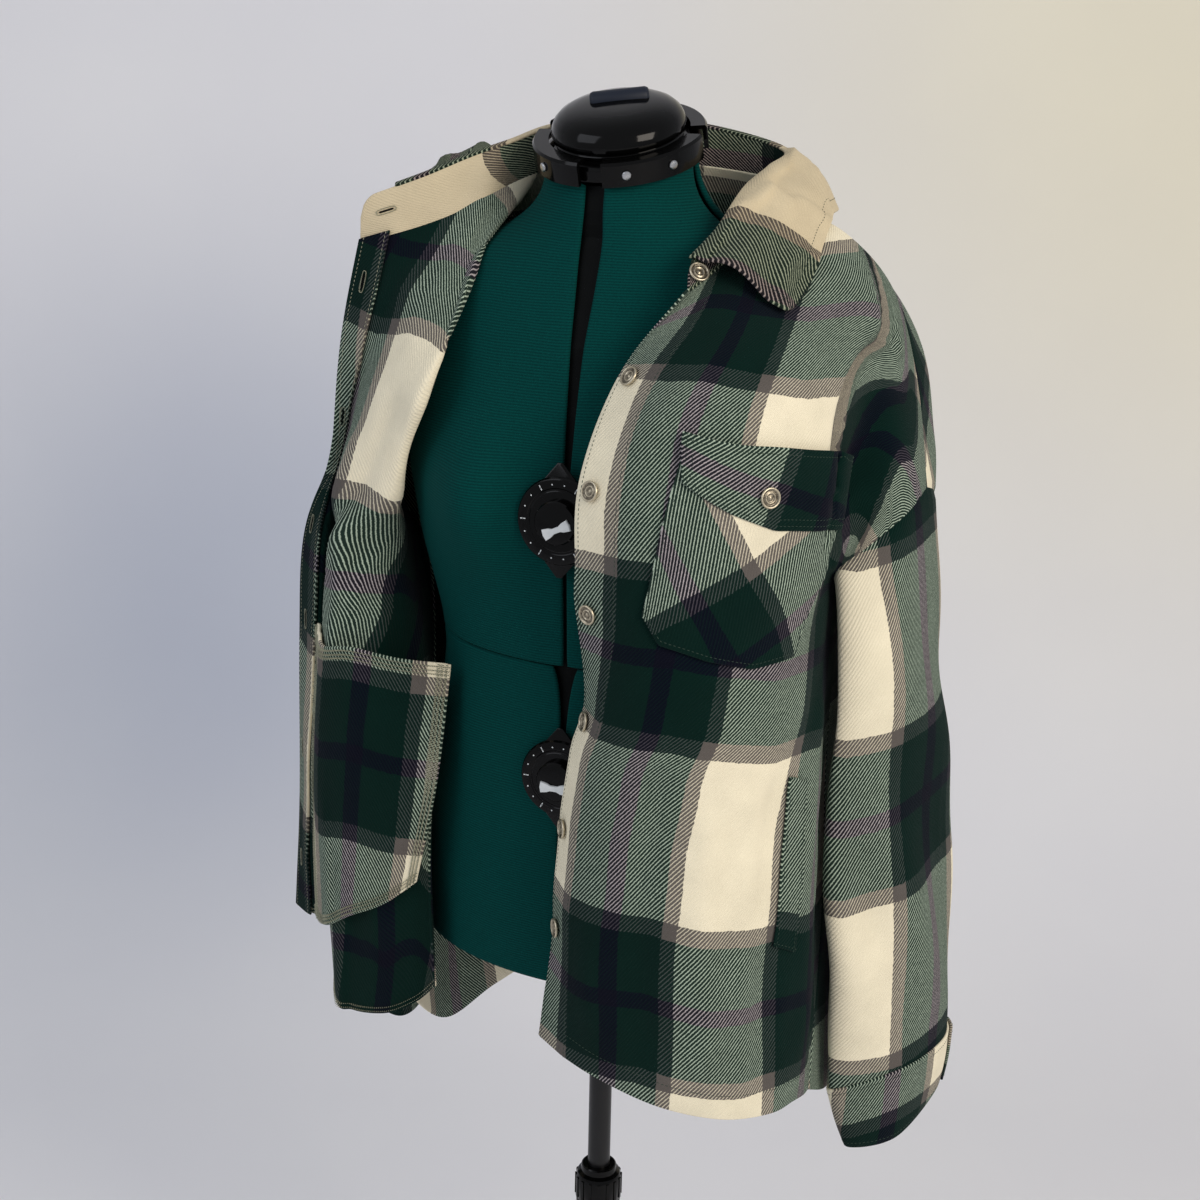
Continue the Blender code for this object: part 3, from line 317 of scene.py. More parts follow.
# a fine jersey of spun cotton: level courses, a soft dull face and a paler fuzz at grazing angles
place = add_node(tree, "ShaderNodeTexCoord").outputs["Object"]
height = add_node(tree, "ShaderNodeSeparateXYZ", _0=place).outputs["Z"]
bent = maths(tree, "MULTIPLY_ADD", noise(tree, 9.0, 2.0, place), 0.010, height)
ribs = maths(tree, "SINE", maths(tree, "MULTIPLY", bent, 2 * np.pi / KNIT_RIB))
mixed = maths(tree, "MULTIPLY_ADD", noise(tree, 900.0, 2.0, place), 0.5,
              maths(tree, "MULTIPLY_ADD", ribs, 0.16, 0.25))
dress(shader, Base_Color=shades(tree, mixed, "#002B2A", "#004440", 0.25, 0.80),
      Normal=bumps(tree, mixed, 0.35, 0.0004), Roughness=0.85, Specular_IOR_Level=0.06,
      Sheen_Weight=0.04, Sheen_Roughness=0.5, Sheen_Tint="#5FA8A0")


FLARE, FLARE_DEPTH = 0.0075, 0.022   # the front slot opens out below the waist
SHELL_ROWS, SHELL_COLUMNS = 60, 40


def quarter(name, first, last, top, foot):
    """One shell between two angles and two heights, its edges turned in under the cover."""
    rows = []
    for level in np.linspace(top, foot, SHELL_ROWS):
        gap = np.interp(level, SLOT_HEIGHTS, SLOT_WIDTHS)
        flare = FLARE * np.exp(-(WAIST - level) / FLARE_DEPTH) if level < WAIST else 0.0
        radius = np.hypot(*torso_point((first + last) / 2, level)[:2])
        start, stop = ((gap + (flare if side == FRONT else 0.0)) / radius for side in (first, last))
        rows.append([torso_point(a, level) for a in np.linspace(first + start, last - stop, SHELL_COLUMNS)])
    shape = softened(np.array(rows), 3)
    shape -= normals(shape) * SHELL / 2
    verts, faces, _ = sheet_mesh(shape, SHELL, edges=6)
    piece("cover_" + name, verts, faces, knit, ["form_" + name])


for quarter_name, first_angle, last_angle in QUARTERS:
    quarter("upper_" + quarter_name, first_angle, last_angle, NECK_HEIGHT, WAIST + WAIST_SLOT)
    quarter("lower_" + quarter_name, first_angle, last_angle, WAIST - WAIST_SLOT, SHELL_RIM)


# ------------------------------------------------------------------ left front
# The half front that hangs closed over the form: brushed twill flannel, cut in one with its placket,
# whose edge curls back below the bust. It is sewn at the shoulder, the dropped armhole and the side.
CLOTH = 0.0020
ACROSS, DOWN = 12, 12     # steps between the stations of a net
LEFT_SHOULDER = ((121, 30, 1352), (166, 40, 1333), (205, 48, 1291),
                 (227, 52, 1222), (241, 47, 1143))
LEFT_UNDERARM = (188, 5, 1060)
LEFT_FRONT = (
    # edge, button line, bust, side bust, corner, fold, arm, seam
    ((88, -90, 1299), (104, -56, 1319), (117, -12, 1344), *LEFT_SHOULDER),
    ((47, -112, 1236), (88, -130, 1240), (130, -122, 1246), (165, -90, 1252), (193, -45, 1251),
     (209, -8, 1235), (227, 4, 1190), (236, 4, 1131)),
    ((33, -148, 1165), (80, -162, 1165), (128, -150, 1165), (170, -117, 1170), (197, -66, 1170),
     (191, -26, 1165), (214, -18, 1140), (214, -23, 1109)),
    ((32, -150, 1100), (79, -163, 1100), (127, -152, 1100), (168, -118, 1100), (192, -72, 1100),
     (187, -45, 1100), (189, -34, 1096), (192, -28, 1088)),
    ((34, -150, 1040), (80, -163, 1040), (126, -152, 1040), (163, -118, 1040), (182, -80, 1040),
     (185, -50, 1042), (185, -22, 1048), LEFT_UNDERARM),
    ((31, -152, 930), (78, -167, 930), (125, -158, 930), (164, -126, 930), (184, -86, 930),
     (190, -57, 930), (190, -32, 930), (187, -8, 930)),
    ((22, -155, 806), (70, -172, 804), (120, -167, 802), (163, -138, 801), (188, -100, 800),
     (196, -70, 800), (197, -46, 799), (194, -20, 798)),
    ((13, -154, 710), (59, -168, 701), (110, -165, 686), (155, -143, 673), (184, -108, 665),
     (195, -80, 663), (198, -60, 658), (196, -38, 650)),
)
# the plaid, in metres: each colour's width across the warp, then down the weft
CREAM, GREY, GREEN, NAVY = "#E9E0C6", "#5C5753", "#041E19", "#080A17"
WARP = ((CREAM, 0.079), (GREY, 0.012), (GREEN, 0.033), (NAVY, 0.014), (GREEN, 0.033), (GREY, 0.012))
WEFT = ((CREAM, 0.130), (GREY, 0.014), (GREEN, 0.050), (NAVY, 0.014), (GREEN, 0.050), (GREY, 0.014))
WARP_REPEAT, WEFT_REPEAT = 0.183, 0.272
WARP_AT_EDGE = 0.051      # the front edge lies this far into the cream of the warp
TWILL = 0.0030            # from one twill line to the next across the cloth, half again the real one
TWILL_SLOPE = 0.75        # the lines rise a little more steeply than the diagonal


def metres(table):
    """A table of stations in millimetres, as an array in metres."""
    return np.array(table) / 1000


def arc_along(points):
    """Distance along a line of points to each of them."""
    return np.concatenate([[0], np.linalg.norm(np.diff(points, axis=0), axis=1).cumsum()])


def spline(stations, steps):
    """Catmull-Rom curve through the stations, with this many steps between neighbours."""
    points = np.asarray(stations, float)
    padded = np.vstack([2 * points[0] - points[1], points, 2 * points[-1] - points[-2]])
    t = (np.arange(steps) / steps)[:, None]
    curve = [0.5 * (2 * b + (c - a) * t + (2 * a - 5 * b + 4 * c - d) * t * t
                    + (3 * b - a - 3 * c + d) * t ** 3)
             for a, b, c, d in zip(padded, padded[1:], padded[2:], padded[3:])]
    return np.vstack(curve + [points[-1:]])


def net(rows, across, down):
    """Grid of points through the stations of every row: grid[row, column]."""
    wide = np.stack([spline(row, across) for row in rows])
    return np.stack([spline(column, down) for column in wide.transpose(1, 0, 2)], 1)


def places(grid, warp, weft, row=0, stretch=1.0, way=1, column=0):
    """Cloth coordinates of a grid: across from warp at a column, down from weft at a row."""
    wide = np.pad(np.linalg.norm(np.diff(grid, axis=1), axis=2).cumsum(1), ((0, 0), (1, 0)))
    tall = np.pad(np.linalg.norm(np.diff(grid, axis=0), axis=2).cumsum(0), ((1, 0), (0, 0)))
    across = (wide - wide[:, column:column + 1]) * way + np.reshape(warp, (-1, 1))
    return across, (tall - tall[row]) * np.reshape(stretch, (-1, 1)) + np.reshape(weft, (1, -1))


def plaid(name, painted_shade_tint=(1.0, 1.0, 1.0)):
    """Brushed wool twill in the plaid, warp colours across and weft colours down, dimmed by a painted shade
    tint.
    """
    tree, shader, made = finish(name)
    uv = add_node(tree, "ShaderNodeUVMap", {"uv_map": "cloth"}).outputs["UV"]
    drift = add_node(tree, "ShaderNodeTexNoise", {"Scale": 260.0, "Detail": 2.0}, Vector=uv)
    nudge = vectors(tree, "MULTIPLY_ADD", drift.outputs["Color"], (0.0022, 0.0022, 0), uv)
    axes, true = (add_node(tree, "ShaderNodeSeparateXYZ", _0=at).outputs for at in (nudge, uv))
    yarns = []
    for output, stripes in (("X", WARP), ("Y", WEFT)):
        repeat = sum(width for _, width in stripes)
        share = maths(tree, "WRAP", maths(tree, "DIVIDE", axes[output], repeat), 1.0, 0.0)
        ramp = add_node(tree, "ShaderNodeValToRGB", Fac=share)
        stops = ramp.color_ramp.elements
        ramp.color_ramp.interpolation = "CONSTANT"
        stops.remove(stops[1])
        start = 0.0
        for k, (colour, width) in enumerate(stripes):
            stop = stops[0] if k == 0 else stops.new(start / repeat)
            stop.position, stop.color = start / repeat, linear(colour)
            start += width
        yarns.append(ramp.outputs["Color"])
    # the twill lines run up to the right on the face and show warp and weft in turn
    slant = maths(tree, "MULTIPLY_ADD", true["Y"], TWILL_SLOPE, true["X"])
    ripple = noise(tree, 620.0, 2.0, uv, Roughness=0.6)
    phase = maths(tree, "MULTIPLY_ADD", ripple, 2.6, maths(tree, "MULTIPLY", slant, 2 * np.pi / TWILL))
    line = maths(tree, "SINE", phase)
    edge = add_node(tree, "ShaderNodeMapRange", {"From Min": 0.22, "From Max": 1.0, "To Min": 0.020,
                                                 "To Max": 0.74}, Value=line)
    # the darker yarns cover more of the face than the paler ones
    dark, pale = (vectors(tree, operation, *yarns) for operation in ("MINIMUM", "MAXIMUM"))
    # the dark yarns tinge the pale lines: a pale line is greener over green and mauve over navy
    tinge = vectors(tree, "MULTIPLY_ADD", dark, (20, 22, 6), (0.70, 0.67, 0.93))
    tinted = vectors(tree, "MULTIPLY", pale, vectors(tree, "MINIMUM", tinge, (1, 1, 1)))
    cloth = add_node(tree, "ShaderNodeMix", {"data_type": "VECTOR"}, _0=edge.outputs[0], _4=dark, _5=tinted)
    # the brushed nap blurs the yarns together in flecks a few threads wide
    nap = noise(tree, 1400.0, 3.0, uv, Roughness=0.7)
    patchy = maths(tree, "MULTIPLY_ADD", noise(tree, 28.0, 4.0, uv), 0.30,
                   maths(tree, "MULTIPLY_ADD", nap, 0.55, 0.58))
    # the tint paints shade and warm lamp light into the cloth's colour
    in_painted_shade = vectors(tree, "MULTIPLY", cloth.outputs[1], painted_shade_tint)
    final = add_node(tree, "ShaderNodeVectorMath", {"operation": "SCALE"}, _0=in_painted_shade, Scale=patchy)
    rise = maths(tree, "MULTIPLY_ADD", line, 0.35, nap)
    dress(shader, Base_Color=final.outputs[0], Normal=bumps(tree, rise, 0.6, 0.0007), Roughness=0.95,
          IOR=1.45, Specular_IOR_Level=0.04, Sheen_Weight=0.03, Sheen_Roughness=0.6)
    return made


flannel = plaid("brushed wool twill flannel")
# the collar's cloth is painted darker and browner: painted shade under a warm lamp
collar_flannel = plaid("brushed wool twill flannel of the collar", (0.76, 0.70, 0.62))


FLAT_STEPS = 6            # the folds fade out over this many steps beside a panel's edges


def rumpled(grid, spots, creases, out):
    """Presses soft folds into a panel: (start, end, half width, rise), in its cloth coordinates."""
    across, down = spots
    # a faint ripple all over, under the folds
    lift = 0.0006 * np.sin(across * 61 + 1.3) * np.sin(down * 43 + 0.4) \
        + 0.0005 * np.sin(across * 113 + down * 71)
    for crease in creases:
        start, end, wide, rise = (np.divide(part, 1000) for part in crease)
        way = np.subtract(end, start)
        share = ((across - start[0]) * way[0] + (down - start[1]) * way[1]) / (way @ way)
        share = np.clip(share, 0, 1)
        gap = np.hypot(across - start[0] - share * way[0], down - start[1] - share * way[1])
        lift = lift + rise * np.exp(-(gap / wide) ** 2)
    fade = np.minimum(1, np.minimum(*np.meshgrid(*[np.minimum(np.arange(n), np.arange(n)[::-1]) / FLAT_STEPS
                                                   for n in grid.shape[1::-1]])))
    return grid + out * (lift * fade)[..., None]


def from_side(grid, side):
    """A grid as seen from one of its sides, which comes first."""
    turned = grid if side in ("top", "bottom") else grid.transpose(1, 0, 2)
    return turned if side in ("top", "first") else turned[::-1]


def follow(grid, side, start, line):
    """Puts one edge of a grid on a line and lets the points beside it follow."""
    moved = from_side(grid, side)
    stop = start + len(line)
    shift = line - moved[0, start:stop]
    for k in range(DOWN):
        moved[k, start:stop] += shift * (1 - k / DOWN) ** 2
    return grid


def panel(name, grid, spots, stands_for, held, rests_on, thickness=CLOTH, material=flannel, cut=None):
    """One sewn panel as a thin shell with its plaid, standing for its solid.

    Its flat cut, or that of one layer of a doubled piece, is the grid before any groove; nothing measures
    it.
    """
    verts, faces, corners = sheet_mesh(grid, thickness)
    flat = np.stack([spots[0].ravel(), spots[1].ravel()], 1)
    uvs = np.concatenate([flat[list(quad)] for quad in corners])
    made = piece(name, verts, faces, material, [stands_for], uvs)
    cut = grid if cut is None else cut


left_front = net(metres(LEFT_FRONT), ACROSS, DOWN)
left_front = softened(follow(left_front, "top", 3 * ACROSS, spline(metres(LEFT_SHOULDER), ACROSS)), 2)
left_out = -normals(left_front)
# how far the warp is in at the edge of the net, by height: the rest of the placket curls back
EDGE_HEIGHTS = (0.700, 0.760, 0.830, 0.900, 0.955, 0.985, 1.060, 1.100)
EDGE_SHIFTS = (0.018, 0.022, 0.030, 0.031, 0.026, 0.015, 0.006, 0.003)
edge_shift = np.interp(left_front[:, 0, 2], EDGE_HEIGHTS, EDGE_SHIFTS)
BUST_ROW = 3 * DOWN       # the row at 1.100, where the weft is anchored, by the distance from its edge
WEFT_AT_BUST = ((0.0, 0.080, 0.170, 0.260), (0.145, 0.145, 0.128, 0.124))
weft_at_bust = np.interp(arc_along(left_front[BUST_ROW]), *WEFT_AT_BUST)
left_spots = places(left_front, edge_shift + WARP_AT_EDGE, weft_at_bust, BUST_ROW)
TUCK_AT, TUCK_WIDE, TUCKED_IN = 0.203, 0.018, 0.134          # where, how wide, how much weft it takes
ARM_LIFT_FROM, ARM_LIFT_WIDE, ARM_LIFT = 0.271, 0.060, 0.040
EASED_FROM, EASED = 0.290, 0.92           # across the warp, and the share of the cloth taken in
CHEST, SHOULDER, FADE = 1.05, 1.12, 0.06  # heights where these start, and over which they grow


def risen(values, start, span):
    """How far values have come from a start along a span, from 0 to 1."""
    return np.clip((values - start) / span, 0, 1)


# past a tuck beside the pocket the cloth comes from further down the weft, as far as the armhole
above_chest = risen(left_front[..., 2], CHEST, FADE)
past_tuck = risen(left_spots[0] - WARP_AT_EDGE, TUCK_AT, TUCK_WIDE) * above_chest
left_spots[1][:] += TUCKED_IN * past_tuck ** 2 * (3 - 2 * past_tuck)
lifted = risen(left_spots[0], ARM_LIFT_FROM, ARM_LIFT_WIDE) * above_chest
left_spots[1][:] += ARM_LIFT * lifted ** 2 * (3 - 2 * lifted)
# the cloth eased in along the dropped shoulder stays within the dark stripe
eased = np.maximum(left_spots[0] - EASED_FROM, 0) * risen(left_front[..., 2], SHOULDER, FADE)
left_spots[0][:] -= EASED * eased
LEFT_CREASES = (
    # start, end, half width, rise: across and down the cloth
    ((150, 300), (160, 560), 16, -4.5),
    ((195, 330), (215, 590), 14, 4),
    ((250, 300), (262, 600), 15, -5),
    ((300, 250), (305, 600), 13, 4.5),
    ((350, 280), (350, 600), 16, -4.5),
    ((105, 420), (120, 560), 18, 3),
    ((264, -110), (262, 110), 7, -7.5),
    ((286, -120), (284, 90), 10, 5),
    ((345, -70), (350, 160), 10, -3.5),
)
left_front = rumpled(left_front, left_spots, LEFT_CREASES, left_out)

# the placket: its first 40 mm turn back on a soft bend, in a direction that changes with height
TURN_AT = 0.040
BEND = 0.012              # length of cloth in the bend
PLACKET_COLUMNS = 12
CURL_HEIGHTS = (0.985, 1.085)                # from fully curled to flat
CURL_LOW, CURL_HIGH = np.array((-0.82, 0.57, 0.0)), np.array((-0.62, 0.78, 0.0))
AWAY_HEIGHTS = (0.70, 0.10)                  # the way back goes from low to high over this height
rolled, rolled_spots = [], []
for row, shift, row_down in zip(left_front, edge_shift, left_spots[1]):
    arc = arc_along(row)
    rest = np.linspace(0, 1, len(row)) * (arc[-1] - (TURN_AT - shift)) + TURN_AT - shift
    body = np.stack([np.interp(rest, arc, row[:, k]) for k in range(3)], 1)
    body_down = np.interp(rest, arc, row_down)
    steps = np.linspace(TURN_AT, 0, PLACKET_COLUMNS + 1)[1:]
    curl = np.clip((CURL_HEIGHTS[1] - row[0, 2]) / (CURL_HEIGHTS[1] - CURL_HEIGHTS[0]), 0, 1)
    curl = curl * curl * (3 - 2 * curl)
    mix = risen(row[0, 2], *AWAY_HEIGHTS)
    away = unit(CURL_LOW * (1 - mix) + CURL_HIGH * mix)
    heading, onward = unit(body[0] - body[2]), unit(row[0] - row[3])
    spot, previous, flat_part, curled = body[0], TURN_AT, [], []
    for at in steps:
        inside = np.array([np.interp(at - shift, arc, row[:, k]) for k in range(3)])
        flat_part.append(inside + onward * max(0.0, shift - at))
        bend = min(1.0, (TURN_AT - at) / BEND)
        spot = spot + unit(heading * (1 - bend) + away * bend) * (previous - at)
        previous = at
        curled.append(spot)
    placket = np.array(flat_part) * (1 - curl) + np.array(curled) * curl
    rolled.append(np.concatenate([placket[::-1], body]))
    rolled_spots.append((np.concatenate([steps[::-1], rest + shift]) + WARP_AT_EDGE,
                         np.concatenate([np.full(PLACKET_COLUMNS, body_down[0]), body_down])))
left_panel, left_panel_spots = np.array(rolled), np.array(rolled_spots).transpose(1, 0, 2)
panel("front_left", left_panel, left_panel_spots, "left_front", "draped", ["cover_upper_left_front"])


# ------------------------------------------------------------------ right front
# The other half front, open and folded back on itself, so that the wrong side of the flannel shows.
# It drops straight from the shoulder, stands off the form in one deep fold and is seamed to the back.
RIGHT_SHOULDER = ((-80, 30, 1372), (-150, 40, 1336), (-204, 52, 1291),
                  (-230, 60, 1222), (-244, 62, 1143))
RIGHT_UNDERARM = (-190, 35, 1060)
RIGHT_FRONT = (
    # edge, facing, valley, ridge, inner, roll, under, shoulder, tip, seam
    ((-198, -50, 1316), (-170, -49, 1324), (-145, -42, 1332), (-120, -34, 1342), (-96, -20, 1358),
     *RIGHT_SHOULDER),
    ((-214, -51, 1240), (-184, -60, 1250), (-172, -64, 1252), (-152, -78, 1250), (-128, -90, 1247),
     (-102, -96, 1245), (-132, -74, 1250), (-180, -32, 1265), (-220, 8, 1240), (-240, 24, 1132)),
    ((-234, -43, 1140), (-226, -38, 1140), (-219, -46, 1140), (-205, -72, 1145), (-174, -90, 1150),
     (-144, -92, 1150), (-164, -68, 1150), (-190, -38, 1155), (-206, -10, 1145), (-218, 0, 1108)),
    ((-272, -20, 1060), (-246, -38, 1064), (-240, -20, 1062), (-206, -90, 1068), (-176, -80, 1068),
     (-164, -60, 1066), (-166, -36, 1064), (-174, -14, 1062), (-182, 10, 1061), RIGHT_UNDERARM),
    ((-278, -21, 970), (-252, -40, 974), (-246, -22, 972), (-210, -100, 982), (-182, -90, 984),
     (-162, -72, 984), (-154, -54, 980), (-153, -36, 976), (-156, -18, 973), (-162, -2, 970)),
    ((-284, -18, 820), (-262, -42, 824), (-254, -28, 824), (-213, -104, 832), (-192, -108, 832),
     (-174, -106, 830), (-158, -102, 828), (-145, -98, 826), (-134, -92, 824), (-126, -84, 822)),
    ((-298, -8, 706), (-274, -22, 706), (-250, -22, 708), (-208, -100, 674), (-190, -104, 670),
     (-172, -103, 670), (-155, -100, 673), (-141, -96, 680), (-130, -92, 688), (-121, -86, 698)),
)
CLEAR = 0.0068            # middle of the cloth to the form it hangs on
GROOVE = 0.0014           # depth of the groove of a seam


def laid_over(grid, panel, out, lift, reach=0.030):
    """Moves the points of a grid that are lower than lift over a panel out to that height."""
    moved = grid.copy()
    under, facing_out = panel.reshape(-1, 3), out.reshape(-1, 3)
    tree = KDTree(len(under))
    for k, spot in enumerate(under):
        tree.insert(spot, k)
    tree.balance()
    for spot in moved.reshape(-1, 3):
        nearest = tree.find(spot)[1]
        level = np.dot(spot - under[nearest], facing_out[nearest])
        if lift - reach < level < lift:
            spot += facing_out[nearest] * (lift - level)
    return moved


def seamed(grid, out, sides):
    """Draws the edges of a panel in where it is sewn to the next, for the groove of a seam."""
    moved = grid.copy()
    for side in sides:
        from_side(moved, side)[0] -= from_side(out, side)[0] * GROOVE
    return moved


skin = np.array([[torso_point(a, h) for a in np.linspace(0, 2 * np.pi, 97)[:-1]]
                 for h in np.linspace(NECK_HEIGHT, SHELL_RIM, 66)])
skin_out = normals(skin, wrap=True)
right_front = net(metres(RIGHT_FRONT), ACROSS, DOWN)
right_front[0, 5 * ACROSS:] = spline(metres(RIGHT_SHOULDER), ACROSS)
right_front = softened(laid_over(right_front, skin, skin_out, CLEAR), 3)
right_out = normals(right_front)
CHEST_ROW = 2 * DOWN      # the row at 1.140, where the weft is anchored
right_edge = np.interp(-right_front[:, 0, 2], (-1.330, -1.265, -1.250), (0.096, 0.118, 0.116))
chest_weft = np.interp(arc_along(right_front[CHEST_ROW]), (0.067, 0.102, 0.142), (0.114, 0.106, 0.091))
right_stretch = np.where(np.arange(len(right_front)) > CHEST_ROW, 0.86, 1.0)
right_spots = places(right_front, WARP[0][1] - right_edge, chest_weft, CHEST_ROW, right_stretch, way=-1)
RIGHT_CREASES = (
    ((-130, 60), (-120, 330), 10, 4),
    ((-165, 0), (-150, 300), 12, -4.5),
    ((-190, 180), (-200, 480), 11, 4),
    ((-225, 220), (-225, 500), 10, -3.5),
    ((-100, 100), (-90, 420), 10, -3),
    ((-150, -80), (-180, 80), 9, 3),
)
right_front = rumpled(right_front, right_spots, RIGHT_CREASES, right_out)
# below the chest the folded cloth slips sideways, and its cream stripe runs on down beside the form
slip = np.interp(-right_spots[0], (0.085, 0.205), (0, 1))
slip = slip * np.interp(right_front[..., 2], (0.930, 1.020, 1.070, 1.190), (0, 1, 1, 0))
right_spots[0][:] += 0.040 * slip
panel("front_right", seamed(right_front, right_out, ("last",)), right_spots, "right_front",
      "draped", ["cover_upper_right_front"], cut=right_front)

# ------------------------------------------------------------------ back
# One wide panel of flannel behind, seamed to both fronts at the shoulders and the sides. It hangs
# clear of the form from the shoulder blades down, in soft upright folds.
BACK = (
    (*LEFT_SHOULDER[::-1], (102, 88, 1366), (20, 122, 1374), (-56, 90, 1376), *RIGHT_SHOULDER),
    ((242, 78, 1132), (234, 88, 1190), (216, 95, 1245), (180, 100, 1275), (140, 112, 1290),
     (80, 132, 1295), (10, 142, 1296), (-60, 134, 1295), (-120, 116, 1290), (-170, 104, 1275),
     (-212, 98, 1245), (-236, 94, 1190), (-244, 88, 1132)),
    ((228, 96, 1108), (218, 92, 1140), (198, 104, 1165), (166, 128, 1175), (128, 146, 1178),
     (70, 158, 1180), (5, 162, 1180), (-60, 160, 1180), (-118, 150, 1178), (-158, 132, 1175),
     (-192, 112, 1165), (-216, 102, 1140), (-230, 104, 1108)),
    (LEFT_UNDERARM, (187, 30, 1062), (180, 66, 1064), (157, 106, 1064), (120, 138, 1064), (64, 156, 1064),
     (4, 160, 1064), (-58, 156, 1064), (-114, 144, 1064), (-152, 122, 1064), (-178, 96, 1064),
     (-190, 66, 1062), RIGHT_UNDERARM),
    ((187, -8, 930), (188, 22, 928), (183, 60, 926), (159, 108, 924), (120, 142, 922), (64, 160, 920),
     (4, 164, 920), (-56, 161, 920), (-112, 150, 920), (-152, 126, 922), (-176, 88, 925), (-177, 36, 928),
     (-156, -30, 930)),
    ((194, -20, 798), (197, 14, 792), (190, 58, 784), (164, 112, 776), (124, 149, 770), (66, 168, 768),
     (4, 172, 766), (-56, 169, 766), (-114, 158, 768), (-158, 130, 774), (-186, 84, 784), (-182, 6, 796),
     (-124, -86, 808)),
    ((196, -38, 650), (201, -2, 632), (194, 50, 615), (168, 112, 600), (127, 152, 588), (68, 172, 582),
     (4, 176, 580), (-58, 172, 578), (-118, 162, 606), (-166, 140, 580), (-192, 80, 566), (-186, -4, 635),
     (-121, -86, 698)),
)
back = net(metres(BACK), ACROSS, DOWN)
back = softened(laid_over(back, skin, skin_out, CLEAR), 2)
follow(back, "top", 0, left_front[0, :3 * ACROSS - 1:-1])
follow(back, "top", 8 * ACROSS, right_front[0, 5 * ACROSS:])
follow(back, "first", 3 * DOWN, left_front[4 * DOWN:, -1])
follow(back, "last", 3 * DOWN, right_front[3 * DOWN:, -1])
back_out = -normals(back)
left_weft, right_weft = left_spots[1][4 * DOWN, -1], right_spots[1][3 * DOWN, -1]
right_weft += round((left_weft - right_weft) / WEFT_REPEAT) * WEFT_REPEAT
BACK_WARP = 0.405         # in the middle of the back
MIDDLE_BACK = 11 * ACROSS // 2               # the warp hangs plumb from here
back_spots = places(back, BACK_WARP, np.linspace(left_weft, right_weft, back.shape[1]), 3 * DOWN,
                    column=MIDDLE_BACK)
BACK_CREASES = (
    ((420, 150), (400, 640), 20, 6),
    ((500, 200), (520, 680), 18, -6),
    ((600, 120), (590, 700), 22, 5),
    ((680, 180), (700, 650), 18, -5.5),
    ((780, 150), (770, 690), 20, 5.5),
    ((360, 250), (370, 660), 16, -4.5),
    ((450, -20), (560, 100), 18, 4),
    ((760, -30), (690, 120), 18, 4),
)
back = rumpled(back, back_spots, BACK_CREASES, back_out)
panel("back_panel", seamed(back, back_out, ("top", "first", "last")), back_spots, "back",
      "draped", ["cover_upper_left_back", "cover_upper_right_back"], cut=back)

# ------------------------------------------------------------------ sleeves
# Two full sleeves set into the dropped armholes, hanging empty from the shoulders, and seamed under
# the arm. Each is one cut of the flannel, a little gathered where its cuff begins.
LEFT_SLEEVE = (
    # outer, ridge, inner front, inside, inner back, outer back
    ((255, 58, 1035), (236, -8, 1043), (199, -31, 1035), (200, 20, 1028), (214, 85, 1030), (245, 103, 1035)),
    ((262, 60, 950), (241, -10, 950), (199, -34, 950), (202, 20, 950), (220, 88, 950), (252, 106, 950)),
    ((270, 60, 860), (247, -12, 860), (203, -36, 860), (206, 20, 860), (226, 86, 860), (260, 104, 860)),
    ((281, 60, 770), (256, -11, 770), (209, -34, 765), (212, 20, 765), (235, 83, 770), (271, 100, 775)),
    ((287, 60, 664), (266, 0, 662), (214, -22, 642), (217, 20, 640), (243, 80, 652), (276, 94, 664)),
)
RIGHT_SLEEVE = (
    ((-254, 76, 1035), (-236, 12, 1040), (-206, 4, 1035), (-198, 50, 1028), (-212, 106, 1030),
     (-243, 120, 1035)),
    ((-262, 83, 950), (-243, 18, 950), (-208, 8, 950), (-200, 55, 950), (-215, 113, 950), (-250, 126, 950)),
    ((-266, 88, 860), (-247, 23, 860), (-210, 12, 860), (-203, 60, 860), (-220, 116, 860), (-254, 129, 860)),
    ((-270, 92, 770), (-250, 28, 770), (-212, 16, 770), (-206, 62, 770), (-224, 119, 770), (-258, 131, 770)),
    ((-272, 98, 664), (-252, 34, 660), (-213, 22, 650), (-209, 64, 648), (-229, 118, 652), (-260, 131, 662)),
)


def closed_ring(stations, in_front, behind_it):
    """Ring through six stations, sampled as densely as the armhole is in front and behind."""
    points = metres(stations)
    around = spline(np.vstack([points[-2:], points, points[:3]]), 24)[48:-48]
    picks = np.concatenate([np.linspace(0, 72, in_front + 1)[:-1], np.linspace(72, 144, behind_it + 1)[:-1]])
    return np.stack([np.interp(picks, np.arange(145), around[:, k]) for k in range(3)], 1)


def sleeve_tube(front_edge, back_edge, table):
    """A sleeve from the armhole, down one edge and up the other, to the cuff's seam."""
    armhole = np.concatenate([front_edge, back_edge[::-1][1:-1]])
    rings = [armhole] + [closed_ring(row, len(front_edge) - 1, len(back_edge) - 1) for row in table]
    return np.stack([spline(points, DOWN) for points in np.stack(rings, 1)], 1)


def opened(tube, start):
    """A tube's grid laid open along one column, which then comes first and last."""
    return np.concatenate([tube[:, start:], tube[:, :start + 1]], 1)


DRAG_LINES, DRAG_SPREAD, DRAG_DEPTH = 9, 0.16, 0.0021        # the spread is a share of the length


def wrinkled(tube, out, seed):
    """Slanting drag lines round a sleeve, strongest at the elbow and above the cuff."""
    rows, columns = tube.shape[:2]
    down, round_it = np.meshgrid(np.linspace(0, 1, rows), np.linspace(0, 2 * np.pi, columns), indexing="ij")
    chance = np.random.default_rng(seed)
    lift = np.zeros((rows, columns))
    for _ in range(DRAG_LINES):
        turns, slope, start, middle = chance.uniform((2, 3, 0, 0.25), (5, 14, 6.28, 0.95))
        near = np.exp(-((down - middle) / DRAG_SPREAD) ** 2)
        lift += np.sin(round(turns) * round_it + slope * down + start) * near
    lift *= DRAG_DEPTH * np.clip(down * 8, 0, 1) * np.clip((1 - down) * 12, 0, 1)
    return tube + out * lift[..., None]


